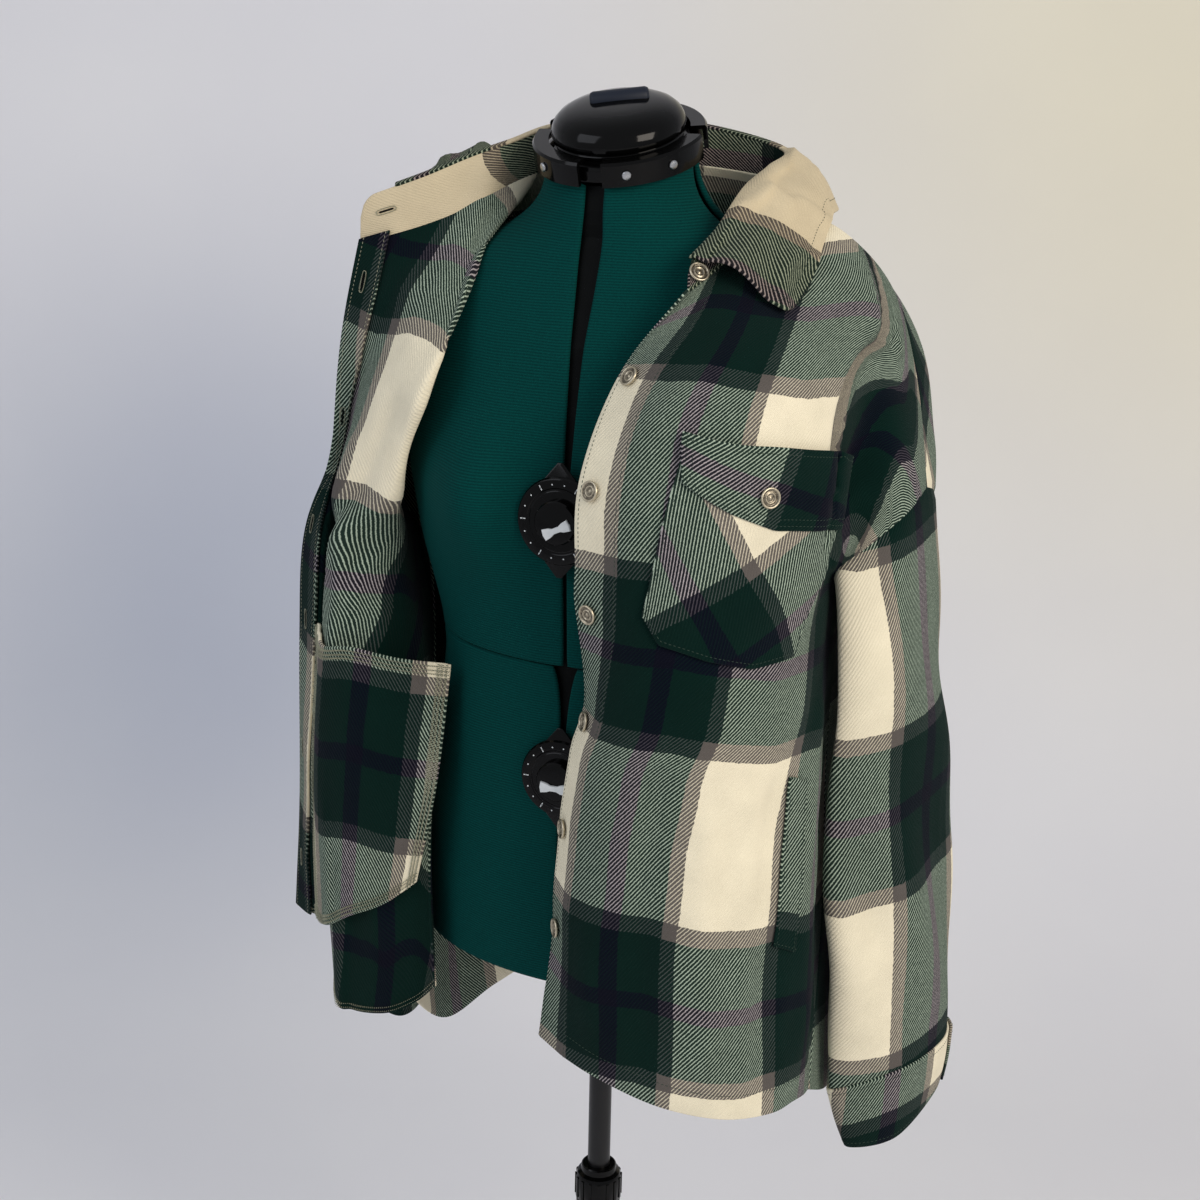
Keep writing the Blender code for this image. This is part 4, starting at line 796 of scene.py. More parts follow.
SLEEVE_WEFT = (0.144, 0.152, 0.150, 0.134, 0.136)            # round the sleeve from its inner seam
SLEEVE_WARP = {"left": 0.156, "right": 0.020}                # at the outer edge
sleeve_grids = {}
for side, table, front_edge, back_edge, way, seed in (
        ("left", LEFT_SLEEVE, left_front[:4 * DOWN + 1, -1], back[:3 * DOWN + 1, 0], -1, 3),
        ("right", RIGHT_SLEEVE, right_front[:3 * DOWN + 1, -1], back[:3 * DOWN + 1, -1], 1, 8)):
    tube = sleeve_tube(front_edge, back_edge, table)
    tube_out = normals(tube, True) * -way
    tube = wrinkled(tube, tube_out, seed)
    in_front = len(front_edge) - 1
    sleeve_grids[side] = (tube, in_front)
    grid = opened(tube, in_front)
    outer = tube.shape[1] - in_front
    quarter_turns = np.arange(grid.shape[1]) / (grid.shape[1] - 1) * 4
    weft = np.interp(quarter_turns, (0, 1, quarter_turns[outer], 3, 4), SLEEVE_WEFT)
    spots = places(grid, SLEEVE_WARP[side], weft, 2 * DOWN, 0.97, way, outer)
    panel("sleeve_" + side, seamed(grid, normals(grid) * -way, ("top",)), spots, side + "_sleeve",
          "draped", ["front_" + side], cut=grid)

# ------------------------------------------------------------------ cuffs
# Doubled bands of the flannel, topstitched over the sleeves' ends. Each is open behind the arm,
# where it laps over itself and is buttoned.
BAND, CUFF_WEFT = 0.0024, 0.095
LAP_AT, LAP = 10, 5       # columns from the outer edge to the opening, and in the lap
LEFT_CUFF_HEM = ((283, 60, 617), (263, 2, 600), (228, -12, 590), (228, 20, 588),
                 (245, 76, 596), (273, 88, 612))
RIGHT_CUFF_HEM = ((-270, 98, 606), (-250, 38, 600), (-217, 29, 590), (-213, 64, 588),
                  (-230, 112, 592), (-257, 125, 603))
cuffs = {}
for side, hem, way, warp in (("left", LEFT_CUFF_HEM, -1, 0.206), ("right", RIGHT_CUFF_HEM, 1, 0.060)):
    tube, in_front = sleeve_grids[side]
    foot = closed_ring(hem, in_front, tube.shape[1] - in_front)
    shares = np.linspace(-0.05, 1, 10)
    band = np.stack([tube[-1] * (1 - t) + foot * t for t in shares])
    band_out = normals(band, True) * -way
    # the band is cut open behind the outer edge and laps over itself
    lap = tube.shape[1] - LAP_AT
    band = np.concatenate([opened(band, lap), band[:, lap + 1:lap + 1 + LAP]], 1)
    lap_out = np.concatenate([opened(band_out, lap), band_out[:, lap + 1:lap + 1 + LAP]], 1)
    last = band.shape[1]
    rise = np.interp(np.arange(last), (0, 12, last - 14, last - 5), (0.0009, 0.0014, 0.0014, 0.0045))
    bulge = 0.0012 * np.sin(np.pi * np.clip(shares, 0, 1))
    band = band + lap_out * (rise[None] + bulge[:, None])[..., None]
    spots = places(band, warp, CUFF_WEFT, 0, 1.0, way, LAP_AT)
    panel("cuff_" + side, band, spots, side + "_cuff", "stretched", ["sleeve_" + side], BAND)
    cuffs[side] = (band, lap_out)

# ------------------------------------------------------------------ collar
# A doubled stand sewn into the neckline, and a doubled leaf that rolls over its top edge and lies on
# the shoulders. The leaf's left point shows; the rest turns down behind, under the open neck.
COLLAR = metres((
    # stand top, leaf middle, leaf edge
    ((84, -76, 1319), (121, -81, 1315), (151, -63, 1279)),
    ((92, -40, 1337), (127, -46, 1329), (156, -30, 1293)),
    ((98, 4, 1364), (132, 4, 1353), (158, 8, 1326)),
    ((104, 45, 1378), (135, 52, 1366), (150, 57, 1344)),
    ((99, 96, 1389), (118, 122, 1374), (128, 135, 1346)),
    ((22, 122, 1404), (22, 152, 1388), (22, 163, 1354)),
    ((-48, 96, 1408), (-66, 126, 1390), (-74, 140, 1358)),
    ((-72, 40, 1403), (-104, 58, 1388), (-124, 70, 1358)),
    ((-92, -5, 1391), (-116, 24, 1380), (-138, 46, 1353)),
    ((-118, -22, 1380), (-138, 2, 1371), (-158, 26, 1349)),
    ((-145, -36, 1367), (-162, -12, 1358), (-182, 10, 1336)),
    ((-170, -44, 1357), (-184, -22, 1349), (-202, -2, 1324)),
    ((-197, -50, 1347), (-197, -50, 1347), (-197, -50, 1347)),
))
ROLL = 0.0042             # from the stand's top edge out to the leaf that rolls over it
LEAF_REACH = 0.012        # a point of the leaf further inside another cloth than this is left alone
STAND_END, STAND_CUT = 0.012, 0.45           # radius of its round ends, and the share they take off
neckline = np.concatenate([left_front[0, :3 * ACROSS + 1], back[0, 4 * ACROSS + 1:8 * ACROSS],
                           right_front[0, 5 * ACROSS::-1]])
stand_top = spline(COLLAR[:, 0], ACROSS)
length = arc_along(stand_top)
STAND_HOLE = 0.024        # from the end of the stand to its buttonhole
hole_column = int(np.searchsorted(length, length[-1] - STAND_HOLE))
rounding = np.clip(1 - np.minimum(length, length[-1] - length) / STAND_END, 0, 1)
cut_back = (1 - np.sqrt(1 - rounding ** 2)) * STAND_CUT
stand = np.stack([neckline * (1 - t * (1 - cut_back))[:, None] + stand_top * (t * (1 - cut_back))[:, None]
                  for t in np.linspace(-0.06, 1, 10)])
stand_out = normals(stand)
# both pieces are cut across the cloth, so their length runs along the weft
STAND_WARP = ((0.355, 0.415), (0.140, 0.236))                # by the distance along the stand
STAND_WEFT, LEAF_WARP, LEAF_WEFT = 0.498, 0.076, 0.192
LEAF_EASE, LEAF_SKEW = 0.85, 0.20
along, up_it = places(stand, 0, 0)
stand_spots = (np.interp(along, *STAND_WARP) - up_it, along - STAND_WEFT)
panel("stand_band", stand, stand_spots, "collar_stand",
      "stretched", ["back_panel"], BAND, material=collar_flannel)

leaf_middle = spline(COLLAR[:-1, 1], ACROSS)
leaf_edge = spline(COLLAR[:-1, 2], ACROSS)
roll = unit(leaf_middle - stand_top[:-ACROSS])
crown = stand_top[:-ACROSS]
lift_up = unit(stand[-1] - stand[0])[:-ACROSS]
leaf = net(np.stack([crown + roll * ROLL + lift_up * 0.0010, leaf_middle, leaf_edge]), 1, 12)
LIE = 0.0004              # gap left between two cloths that lie on each other
leaf = laid_over(leaf, stand, stand_out, BAND + LIE, LEAF_REACH)
for under, out in ((left_front, left_out), (back, back_out)):
    leaf = laid_over(leaf, under, out, (BAND + CLOTH) / 2 + 2 * LIE, LEAF_REACH)
leaf = softened(leaf, 2)
over = np.stack([crown + lift_up * 0.0012 - roll * 0.0006, crown + lift_up * 0.0034 + roll * 0.0014])
leaf = np.concatenate([over, leaf])
along, across_it = places(leaf, 0, 0)
leaf_spots = (LEAF_WARP - LEAF_EASE * across_it, LEAF_WEFT + LEAF_SKEW * across_it - along)
panel("collar_leaf_cloth", leaf, leaf_spots, "collar_leaf",
      "folded", ["front_left", "back_panel"], BAND, material=collar_flannel)

# ------------------------------------------------------------------ chest pocket, flap and welts
# A patch pocket with a pointed foot, cut askew to the plaid, under a shaped and buttoned flap, and
# the narrow welts of the side pockets; all of them flannel, sewn on close to their edges.
LAYER = CLOTH + 3 * LIE   # from one cloth to the next one on a curved panel
POCKET_TOP = ((0.225, 0.235), (0.320, 0.250), (0.420, 0.270), (0.540, 0.285), (0.620, 0.296))
POCKET_FOOT = ((0.168, 0.490), (0.200, 0.539), (0.300, 0.562), (0.400, 0.578), (0.520, 0.572))
FLAP_TOP = ((0.217, 0.206), (0.300, 0.220), (0.389, 0.233), (0.530, 0.252), (0.650, 0.267))
FLAP_FOOT = ((0.233, 0.267), (0.328, 0.311), (0.417, 0.344), (0.560, 0.360), (0.665, 0.372))
WELT_TOP = ((0.545, 0.700), (0.625, 0.711))
WELT_FOOT = ((0.525, 0.845), (0.600, 0.856))
RIGHT_WELT_TOP = ((0.600, 0.700), (0.680, 0.700))
RIGHT_WELT_FOOT = ((0.600, 0.850), (0.680, 0.850))
POCKET_GRAIN, FLAP_GRAIN = np.radians(42.0), np.radians(-12.0)
POCKET_WARP, POCKET_WEFT = 0.171, 0.036
POCKET_PUFF, FLAP_PUFF = 0.0020, 0.0014      # how far their middles stand off
FLAP_WARP, FLAP_WEFT = 0.002, 0.185
WELT_WARP, WELT_WEFT = 0.140, 0.158          # the weft at its foot


def sample(grid, across, down):
    """Point of a grid at fractions of its width and height, and the normal there."""
    rows, columns = grid.shape[:2]
    r, c = (min(max(share, 0.0), 1.0) * (count - 1) for share, count in ((down, rows), (across, columns)))
    i, j = min(int(r), rows - 2), min(int(c), columns - 2)
    fr, fc = r - i, c - j
    found = [(field[i, j] * (1 - fr) + field[i + 1, j] * fr) * (1 - fc)
             + (field[i, j + 1] * (1 - fr) + field[i + 1, j + 1] * fr) * fc
             for field in (grid, normals(grid))]
    return found[0], unit(found[1])


def patch(under, top, bottom, lift, rows, columns, puff=0.0):
    """Grid of a piece on a panel between two edges, each a list of (across, down) shares."""
    grid = np.empty((rows, columns, 3))
    for c, along in enumerate(np.linspace(0, len(top) - 1, columns)):
        upper, lower = (np.array([np.interp(along, range(len(edge)), [s[k] for s in edge])
                                  for k in (0, 1)]) for edge in (top, bottom))
        for r, share in enumerate(np.linspace(0, 1, rows)):
            across, down = upper * (1 - share) + lower * share
            point, out = sample(under, across, down)
            swell = puff * np.sin(np.pi * share) * np.sin(np.pi * c / (columns - 1))
            grid[r, c] = point + out * (lift - np.sign(-lift) * swell)
    return grid


def on_grain(grid, angle, warp, weft):
    """Cloth coordinates of a piece that is cut at an angle to the plaid."""
    across, down = places(grid, 0, 0)
    return (warp + across * np.cos(angle) - down * np.sin(angle),
            weft + across * np.sin(angle) + down * np.cos(angle))


pocket = patch(left_front, POCKET_TOP, POCKET_FOOT, -LAYER, 40, 40, POCKET_PUFF)
pocket_spots = on_grain(pocket, POCKET_GRAIN, POCKET_WARP, POCKET_WEFT)
panel("pocket_patch", pocket, pocket_spots, "chest_pocket", "laid", ["front_left"])
flap = patch(left_front, FLAP_TOP, FLAP_FOOT, -2 * LAYER, 20, 40, FLAP_PUFF)
flap_spots = on_grain(flap, FLAP_GRAIN, FLAP_WARP, FLAP_WEFT)
panel("pocket_flap_cloth", flap, flap_spots, "pocket_flap", "laid", ["pocket_patch"])
FLAT_LAYER = CLOTH + 2 * LIE
welt = patch(left_front, WELT_TOP, WELT_FOOT, -FLAT_LAYER, 30, 8)
tall = np.linalg.norm(np.diff(welt[:, 0], axis=0), axis=1).sum()
welt_spots = on_grain(welt, 0.0, WELT_WARP, WELT_WEFT - tall)
panel("welt_left", welt, welt_spots, "left_welt", "laid", ["front_left"])
right_welt = patch(right_front, RIGHT_WELT_TOP, RIGHT_WELT_FOOT, FLAT_LAYER, 30, 8)
panel("welt_right", right_welt, on_grain(right_welt, 0.0, WELT_WARP, WELT_WEFT - tall), "right_welt",
      "laid", ["front_right"])

# ------------------------------------------------------------------ right facing and pocket bag
# Inside the open front: the turned-back facing of its edge, and the side pocket's bag, two cloths
# sewn flat together and overlocked round their edges, hanging free over the fold.
FACING_INSET, FACING_WARP = 0.0035, 0.032
facing = (right_front - right_out * LAYER)[:, :ACROSS + 1]
facing[:, -1] += unit(facing[:, -2] - facing[:, -1]) * FACING_INSET
wide = np.linalg.norm(np.diff(facing, axis=1), axis=2).cumsum(1)
facing_spots = (np.pad(wide, ((0, 0), (1, 0))) - FACING_WARP + WARP_REPEAT, right_spots[1][:, :ACROSS + 1])
panel("facing_right", facing, facing_spots, "right_facing", "laid", ["front_right"])

BAG = 0.0032
# outer edge, middle, inner and free edge, and the share of the panel's height where it lies on the ridge
BAG_ROWS = (
    (((-226, -80, 1004), (-182, -110, 998), (-145, -98, 990), (-108, -80, 985)), 0.650),
    (((-231, -86, 880), (-182, -116, 880), (-146, -110, 885), (-113, -96, 890)), 0.790),
    (((-231, -89, 746), (-184, -117, 766), (-155, -112, 780), (-130, -101, 800)), 0.925),
)
bag_rows = []
for stations, share in BAG_ROWS:
    ridge, out = sample(right_front, 3 / 9, share)
    bag_rows.append(np.insert(metres(stations), 1, ridge - out * ((BAG + CLOTH) / 2 + 4 * LIE), axis=0))
bag = softened(net(bag_rows, ACROSS, 20), 2)
bag = laid_over(bag, right_front, -right_out, (BAG + CLOTH) / 2 + 2 * LIE)
BAG_WARP, BAG_WEFT, BAG_EASE, BAG_SKEW = 0.203, 0.120, 0.92, 0.06
bag_across, bag_down = places(bag, 0, BAG_WEFT, stretch=BAG_EASE)
bag_spots = (BAG_WARP - bag_across - (bag_down - BAG_WEFT) * BAG_SKEW, bag_down)
panel("pocket_bag_right", bag, bag_spots, "right_pocket_bag", "hung", ["front_right"], BAG)

# ------------------------------------------------------------------ buttons
# Die-cast pewter shank buttons with a raised rim round a sunk ring and a small boss: six down the
# placket, and one each on the pocket's flap, the two cuffs and the collar's stand.
BUTTON_RADIUS = 0.0078
BUTTON_HEIGHTS = (1.237, 1.161, 1.067, 0.980, 0.886, 0.802)
BUTTON_FROM_EDGE = 0.013
# share of the radius, height above the cloth
BUTTON_PROFILE = (
    (0.30, 0.0), (0.30, 0.0008), (0.80, 0.0009), (0.96, 0.0014), (1.00, 0.0021), (0.97, 0.0029),
    (0.88, 0.0033), (0.80, 0.0029), (0.74, 0.0020), (0.56, 0.0019), (0.50, 0.0026), (0.44, 0.0026),
    (0.38, 0.0019), (0.20, 0.0017), (0.14, 0.0023), (0.04, 0.0024))


def facing_frame(point, facing_to, up=(0, 0, 1)):
    """Frame at a point whose +Z is the facing and whose +Y is as nearly up as it can be."""
    z = Vector(facing_to).normalized()
    x = Vector(up).cross(z).normalized()
    turned_to = Matrix((x, z.cross(x), z)).transposed().to_4x4()
    return Matrix.Translation(Vector(point)) @ turned_to


def joined(rings, count):
    """Quads between rings of count points that follow one another."""
    return [(k * count + c, k * count + (c + 1) % count, (k + 1) * count + (c + 1) % count,
             (k + 1) * count + c) for k in range(rings - 1) for c in range(count)]


def lathe(name, profile, material, stands_for, sides=48, frame_at=Matrix(), crease=0.6):
    """A turned piece, closed at both ends, from (radius, height) pairs going up its side."""
    turns = np.arange(sides) * 2 * np.pi / sides
    verts = [(r * np.cos(t), r * np.sin(t), z) for r, z in profile for t in turns]
    faces, middle, last = joined(len(profile), sides), len(verts), len(verts) - sides
    verts += [(0, 0, profile[0][1]), (0, 0, profile[-1][1])]
    for n in range(sides):
        m = (n + 1) % sides
        faces += [(m, n, middle), (last + n, last + m, middle + 1)]
    verts = [frame_at @ Vector(v) for v in verts]
    return piece(name, verts, faces, material, stands_for, crease=crease)


tree, shader, pewter = finish("antiqued pewter casting")
# a soft metal rubbed bright on its raised rings and dark with tarnish in the sunk ones
edges = add_node(tree, "ShaderNodeNewGeometry").outputs["Pointiness"]
both = maths(tree, "MULTIPLY_ADD", noise(tree, 700.0, 3.0), 0.18, edges)
dress(shader, Base_Color=shades(tree, both, "#4A443C", "#C9BEA6", 0.50, 0.66), Metallic=0.9, Roughness=0.36)


def button(name, point, out, stands_for):
    """One button with its back at a point, facing out."""
    profile = [(r * BUTTON_RADIUS, z) for r, z in BUTTON_PROFILE]
    lathe("button_" + name, profile, pewter, [stands_for], 40, facing_frame(point, out), 1.2)


placket_out = -normals(left_panel)
button_column = int(round(PLACKET_COLUMNS * BUTTON_FROM_EDGE / TURN_AT))
for k, level in enumerate(BUTTON_HEIGHTS, 1):
    row = int(np.argmin(np.abs(left_panel[:, button_column, 2] - level)))
    spot, out = left_panel[row, button_column], placket_out[row, button_column]
    button("%d" % k, spot + out * (CLOTH / 2 + LIE), out, "front_button_%d" % k)
spot, inward = sample(left_front, 0.394, 0.296)
button("flap", spot - inward * (2 * LAYER + CLOTH / 2 + FLAP_PUFF), -inward, "flap_button")
CUFF_HOLE = (5, -9)       # row and column of the cuff's net
for side, (band, band_facing) in cuffs.items():
    spot, out = band[CUFF_HOLE], band_facing[CUFF_HOLE]
    button("cuff_" + side, spot + out * (BAND / 2 + LIE), out, side + "_cuff_button")
spot, out = sample(stand, 0.02, 0.30)
button("stand", spot + out * (BAND / 2 + LIE), out, "stand_button")

# ------------------------------------------------------------------ neck of the form
# Moulded black plastic: four angle brackets of the neck band, each with a ledge over the cover's
# edge, a round plate and a full domed cap, with a rubber roller half sunk in its top.
NECK = Matrix.Translation((0, 0, NECK_HEIGHT + 0.0012)) @ Matrix.Rotation(np.arctan(NECK_TILT), 4, "X")
RING_OUT, RING_IN, RING_TALL, RING_GAP = 0.0665, 0.0540, 0.0190, 0.14
LEDGE, WALL = 0.003, 0.0035                  # thickness of a bracket's ledge and of its wall
BRACKET_STEPS = 40
BRACKET = ((RING_OUT, 0.0008), (RING_OUT, RING_TALL - 0.002), (RING_OUT - 0.0015, RING_TALL),
           (RING_IN, RING_TALL), (RING_IN, RING_TALL - LEDGE), (RING_OUT - WALL, RING_TALL - LEDGE),
           (RING_OUT - WALL, 0.0008))

tree, shader, gloss = finish("glossy black moulded plastic")
# injection moulded and polished: near black, with a sharp highlight and faint handling marks
rough = add_node(tree, "ShaderNodeMapRange", {"From Min": 0.3, "From Max": 0.7, "To Min": 0.06,
                                              "To Max": 0.16}, Value=noise(tree, 45.0, 4.0))
dress(shader, Base_Color="#040404", Roughness=rough.outputs[0], Specular_IOR_Level=0.16)

tree, shader, rubber = finish("blue-black ribbed rubber")
# soft rubber, dull and a little blue, with a fine pebble that breaks up the light
dress(shader, Base_Color="#141B29", Normal=bumps(tree, noise(tree, 1300.0, 2.0), 0.4, 0.0003),
      Specular_IOR_Level=0.30, Roughness=0.50)

for quarter_name, first_angle, last_angle in QUARTERS:
    verts = [NECK @ Vector((r * np.cos(a), -r * np.sin(a), z))
             for a in np.linspace(first_angle + RING_GAP, last_angle - RING_GAP, BRACKET_STEPS)
             for r, z in BRACKET]
    first_end = tuple(range(len(BRACKET)))[::-1]
    last_end = tuple(range(len(verts) - len(BRACKET), len(verts)))
    piece("band_" + quarter_name, verts, joined(BRACKET_STEPS, len(BRACKET)) + [first_end, last_end], gloss,
          ["neck_band_" + quarter_name], crease=0.5)
DISC = ((57, 0.6), (59, 2), (59, 10), (52, 14))
DOME = ((44, 14.2), (49, 15), (50, 17.2), (49.2, 18.2), (50.8, 19.4), (51.4, 22.5), (50.6, 27), (48.2, 31.8),
        (44, 35.8), (38, 38.8), (30, 40.8), (20, 41.9), (8, 42.3))
lathe("neck_disc", metres(DISC), gloss, ["neck_plate"], 64, NECK)
lathe("cap_dome", metres(DOME), gloss, ["neck_cap"], 72, NECK, 0.9)
# the roller lies across the top of the dome, half sunk in it
PAD_RADIUS, PAD_HALF, PAD_RISE = 0.0072, 0.0225, 0.0412
across_cap = NECK @ Matrix.Translation((0, 0.007, PAD_RISE)) @ Matrix.Rotation(BEARING, 4, "Z") \
    @ Matrix.Rotation(np.pi / 2, 4, "Y")
pad_end = ((0.0030, 0.0), (0.0010, 0.0008), (0.0, 0.0030))      # how its ends are rounded
lathe("pad_roller", [(PAD_RADIUS - inset, -PAD_HALF + along) for inset, along in pad_end]
      + [(PAD_RADIUS - inset, PAD_HALF - along) for inset, along in pad_end[::-1]], rubber,
      ["cap_pad"], 48, across_cap, 0.9)

tree, shader, zinc = finish("bright zinc plated steel")
# thin zinc over steel: pale grey, with a faint crystalline cloud in the plating
cloud = add_node(tree, "ShaderNodeTexVoronoi", {"Scale": 900.0},
                 Vector=add_node(tree, "ShaderNodeTexCoord").outputs["Object"])
rough = add_node(tree, "ShaderNodeMapRange", {"To Min": 0.22, "To Max": 0.40},
                 Value=cloud.outputs["Distance"])
dress(shader, Base_Color="#B4B6B8", Metallic=1.0, Roughness=rough.outputs[0])
SCREW = ((0.0034, 0.0), (0.0034, 0.0009), (0.0029, 0.0016), (0.0018, 0.0019))
for k, bearing in enumerate((0.60, 1.15, 2.25), 1):
    way_out = NECK @ Vector((np.cos(bearing), -np.sin(bearing), 0.0)) - NECK.translation
    seat = NECK.translation + way_out * (RING_OUT + LIE) + NECK.to_3x3() @ Vector((0, 0, RING_TALL / 2))
    lathe("screw_head_%d" % k, SCREW, zinc, ["neck_screw_%d" % k], 32,
          facing_frame(seat, way_out), 0.5)

# ------------------------------------------------------------------ dials
# Two round adjusters of glossy black plastic over a pointed back plate, each with a sunk face, a
# raised hub, a white grip shaped like a bow tie, and a ring of long and short white marks.
tree, shader, white = finish("white moulded plastic")
# opaque moulded plastic with a soft shine and the faintest grey grime
dress(shader, Base_Color=shades(tree, noise(tree, 160.0, 3.0), "#CDD2D2", "#EEF1F0"), Roughness=0.35)


def group_of(name, **sockets):
    """A new node group with the named inputs: the group, and what it is given."""
    group = bpy.data.node_groups.new(name, "GeometryNodeTree")
    for label, kind in sockets.items():
        group.interface.new_socket(label, in_out="INPUT", socket_type="NodeSocket" + kind)
    group.interface.new_socket("Geometry", in_out="OUTPUT", socket_type="NodeSocketGeometry")
    return group, group.nodes.new("NodeGroupInput").outputs


def spread(group, points, shape, turned, used):
    """Ends a group with the shape on every point, made real and given its material."""
    laid = add_node(group, "GeometryNodeInstanceOnPoints", Points=points, Instance=shape, Rotation=turned)
    real = add_node(group, "GeometryNodeRealizeInstances", Geometry=laid.outputs[0])
    dressed = add_node(group, "GeometryNodeSetMaterial", Geometry=real.outputs[0], Material=used)
    group.links.new(dressed.outputs[0], group.nodes.new("NodeGroupOutput").inputs[0])


def grown(name, base_mesh, group, values, frame_at=Matrix()):
    """Runs a node group on a mesh and keeps what it makes as a plain mesh piece."""
    holder = bpy.data.objects.new(name + "_seed", base_mesh)
    bpy.context.scene.collection.objects.link(holder)
    modifier = holder.modifiers.new("grow", "NODES")
    modifier.node_group = group
    for item in group.interface.items_tree:
        if item.in_out == "INPUT" and item.name in values:
            modifier[item.identifier] = values[item.name]
    bpy.context.view_layer.update()
    made = bpy.data.meshes.new_from_object(holder.evaluated_get(bpy.context.evaluated_depsgraph_get()))
    bpy.data.objects.remove(holder)
    made.name = name
    made.transform(frame_at)
    return placed(name, made)


marks, given = group_of("ring of marks", Count="Int", Radius="Float", Length="Float", Width="Float",
                        Height="Float", Finish="Material")
ring = add_node(marks, "GeometryNodeMeshCircle", {"fill_type": "NONE"}, Vertices=given["Count"],
                Radius=given["Radius"])
size = add_node(marks, "ShaderNodeCombineXYZ", X=given["Length"], Y=given["Width"], Z=given["Height"])
bar = add_node(marks, "GeometryNodeMeshCube", Size=size.outputs[0])
outward = add_node(marks, "FunctionNodeAlignRotationToVector", {"axis": "X"},
                   Vector=add_node(marks, "GeometryNodeInputPosition").outputs[0])
spread(marks, ring.outputs["Mesh"], bar.outputs["Mesh"], outward.outputs[0], given["Finish"])


def slab(name, half_outline, levels, frame_at, material, stands_for, drop=0.0):
    """A plate whose outline is one half and the same half turned round, by (scale, height) levels."""
    outline = half_outline + [(-x, -y) for x, y in half_outline]
    verts = [frame_at @ Vector((x * s, y * s - drop, z)) for s, z in levels for x, y in outline]
    n = len(outline)
    faces = [tuple(range(n))[::-1], tuple(range(2 * n, 3 * n))] + joined(3, n)
    piece(name, verts, faces, material,
          stands_for, crease=0.5)


HALF_BOW = metres(((-11, -4.5), (-6, -3.6), (-3, -2.2), (3, -2.2), (6, -3.6), (11, -4.5),
                   (11.8, 0))).tolist()
DIAL_FACE = 0.0051        # height of the marks' middle above the dial's back
DIALS = (("bust", 1.124, 0.034, 0.45, 3 * LIE), ("hip", 0.915, 0.032, 0.0, LIE))
for name, level, R, grip_turn, gap in DIALS:         # height, radius, turn of the grip, gap behind
    under = [(0.0, level)] + [(R * np.cos(t), level + R * np.sin(t)) for t in np.arange(16) * np.pi / 8]
    seat = max(-torso_point(np.arccos(x / torso_point(0.0, z)[0]), z)[1] for x, z in under) + gap
    dial_frame = facing_frame((0.0, -seat, level), (0, -1, 0))
    lathe(name + "_plate", ((R, 0.0), (R, 0.0026), (R - 0.0012, 0.0044), (R * 0.90, 0.0050),
                            (R * 0.76, 0.0050), (R * 0.74, 0.0046), (R * 0.70, 0.0046), (R * 0.68, 0.0050)),
          gloss, [name + "_dial"], 72, dial_frame, 0.5)
    # the back plate runs out to a point above and below, over the ends of the slot
    rim = [(R * 0.98 * np.cos(t), R * 0.98 * np.sin(t)) for t in np.linspace(-1.15, 1.15, 24)]
    slab(name + "_back_plate", rim + [(R * 0.06, R * 1.30), (-R * 0.06, R * 1.30)],
         ((1, 0.0002), (1, 0.0016), (0.97, 0.0021)), dial_frame, gloss, [])
    knob = dial_frame @ Matrix.Translation((0, 0, DIAL_FACE + 0.0002)) @ Matrix.Rotation(grip_turn, 4, "Z")
    lathe(name + "_hub", ((R * 0.50, 0.0), (R * 0.50, 0.0050), (R * 0.47, 0.0063), (R * 0.40, 0.0067)),
          gloss, [name + "_dial_knob"], 48, knob, 0.5)
    slab(name + "_bow", HALF_BOW, ((1, 0.0068), (1, 0.0082), (0.93, 0.0088)), knob, white,
         [name + "_dial_grip"], R * 0.14)
    for label, count, length, width in (("long", 6, 0.0042, 0.0007), ("dots", 18, 0.0010, 0.0010)):
        grown("%s_marks_%s" % (name, label), bpy.data.meshes.new(name + label), marks,
              {"Count": count, "Radius": R * 0.84, "Length": length, "Width": width, "Height": 0.0004,
               "Finish": white}, dial_frame @ Matrix.Translation((0, 0, DIAL_FACE)))

# ------------------------------------------------------------------ stand
# A steel pole in a steel tube, both in black enamel, held by a ribbed plastic clutch that sets the
# height; the tube stands in a socket on a round plate of enamelled steel.
CLUTCH_TOP, CLUTCH_FOOT, NUT_FOOT = 0.505, 0.440, 0.471
BASE_THICK = 0.012
# height of the foot, then radius and height above the foot in millimetres, going up the side
TURNED = {
    "pole": (0.0, (10, 475), (10, 809.7)),
    "clutch_collar": (NUT_FOOT, (19.5, 0.3), (20.5, 2), (20.5, 22), (19, 26), (16, 28), (15.5, 33),
                      (14.5, 34)),
    "clutch_sleeve": (CLUTCH_FOOT, (14.2, 0), (15.2, 1), (19.6, 10), (19.8, 12), (19.8, 30), (19, 31)),
    "tube": (0.0, (11.3, 24.3), (11.3, 470.7)),
    "tube_socket": (BASE_THICK, (30, 0.3), (30, 2), (26.8, 7.5), (21, 11.5), (20, 12)),
    "base_plate": (0.0, (193, 0), (195, 2), (195, 8), (193, 10.8), (189, 12)),
}

tree, shader, enamel = finish("black stoved enamel")
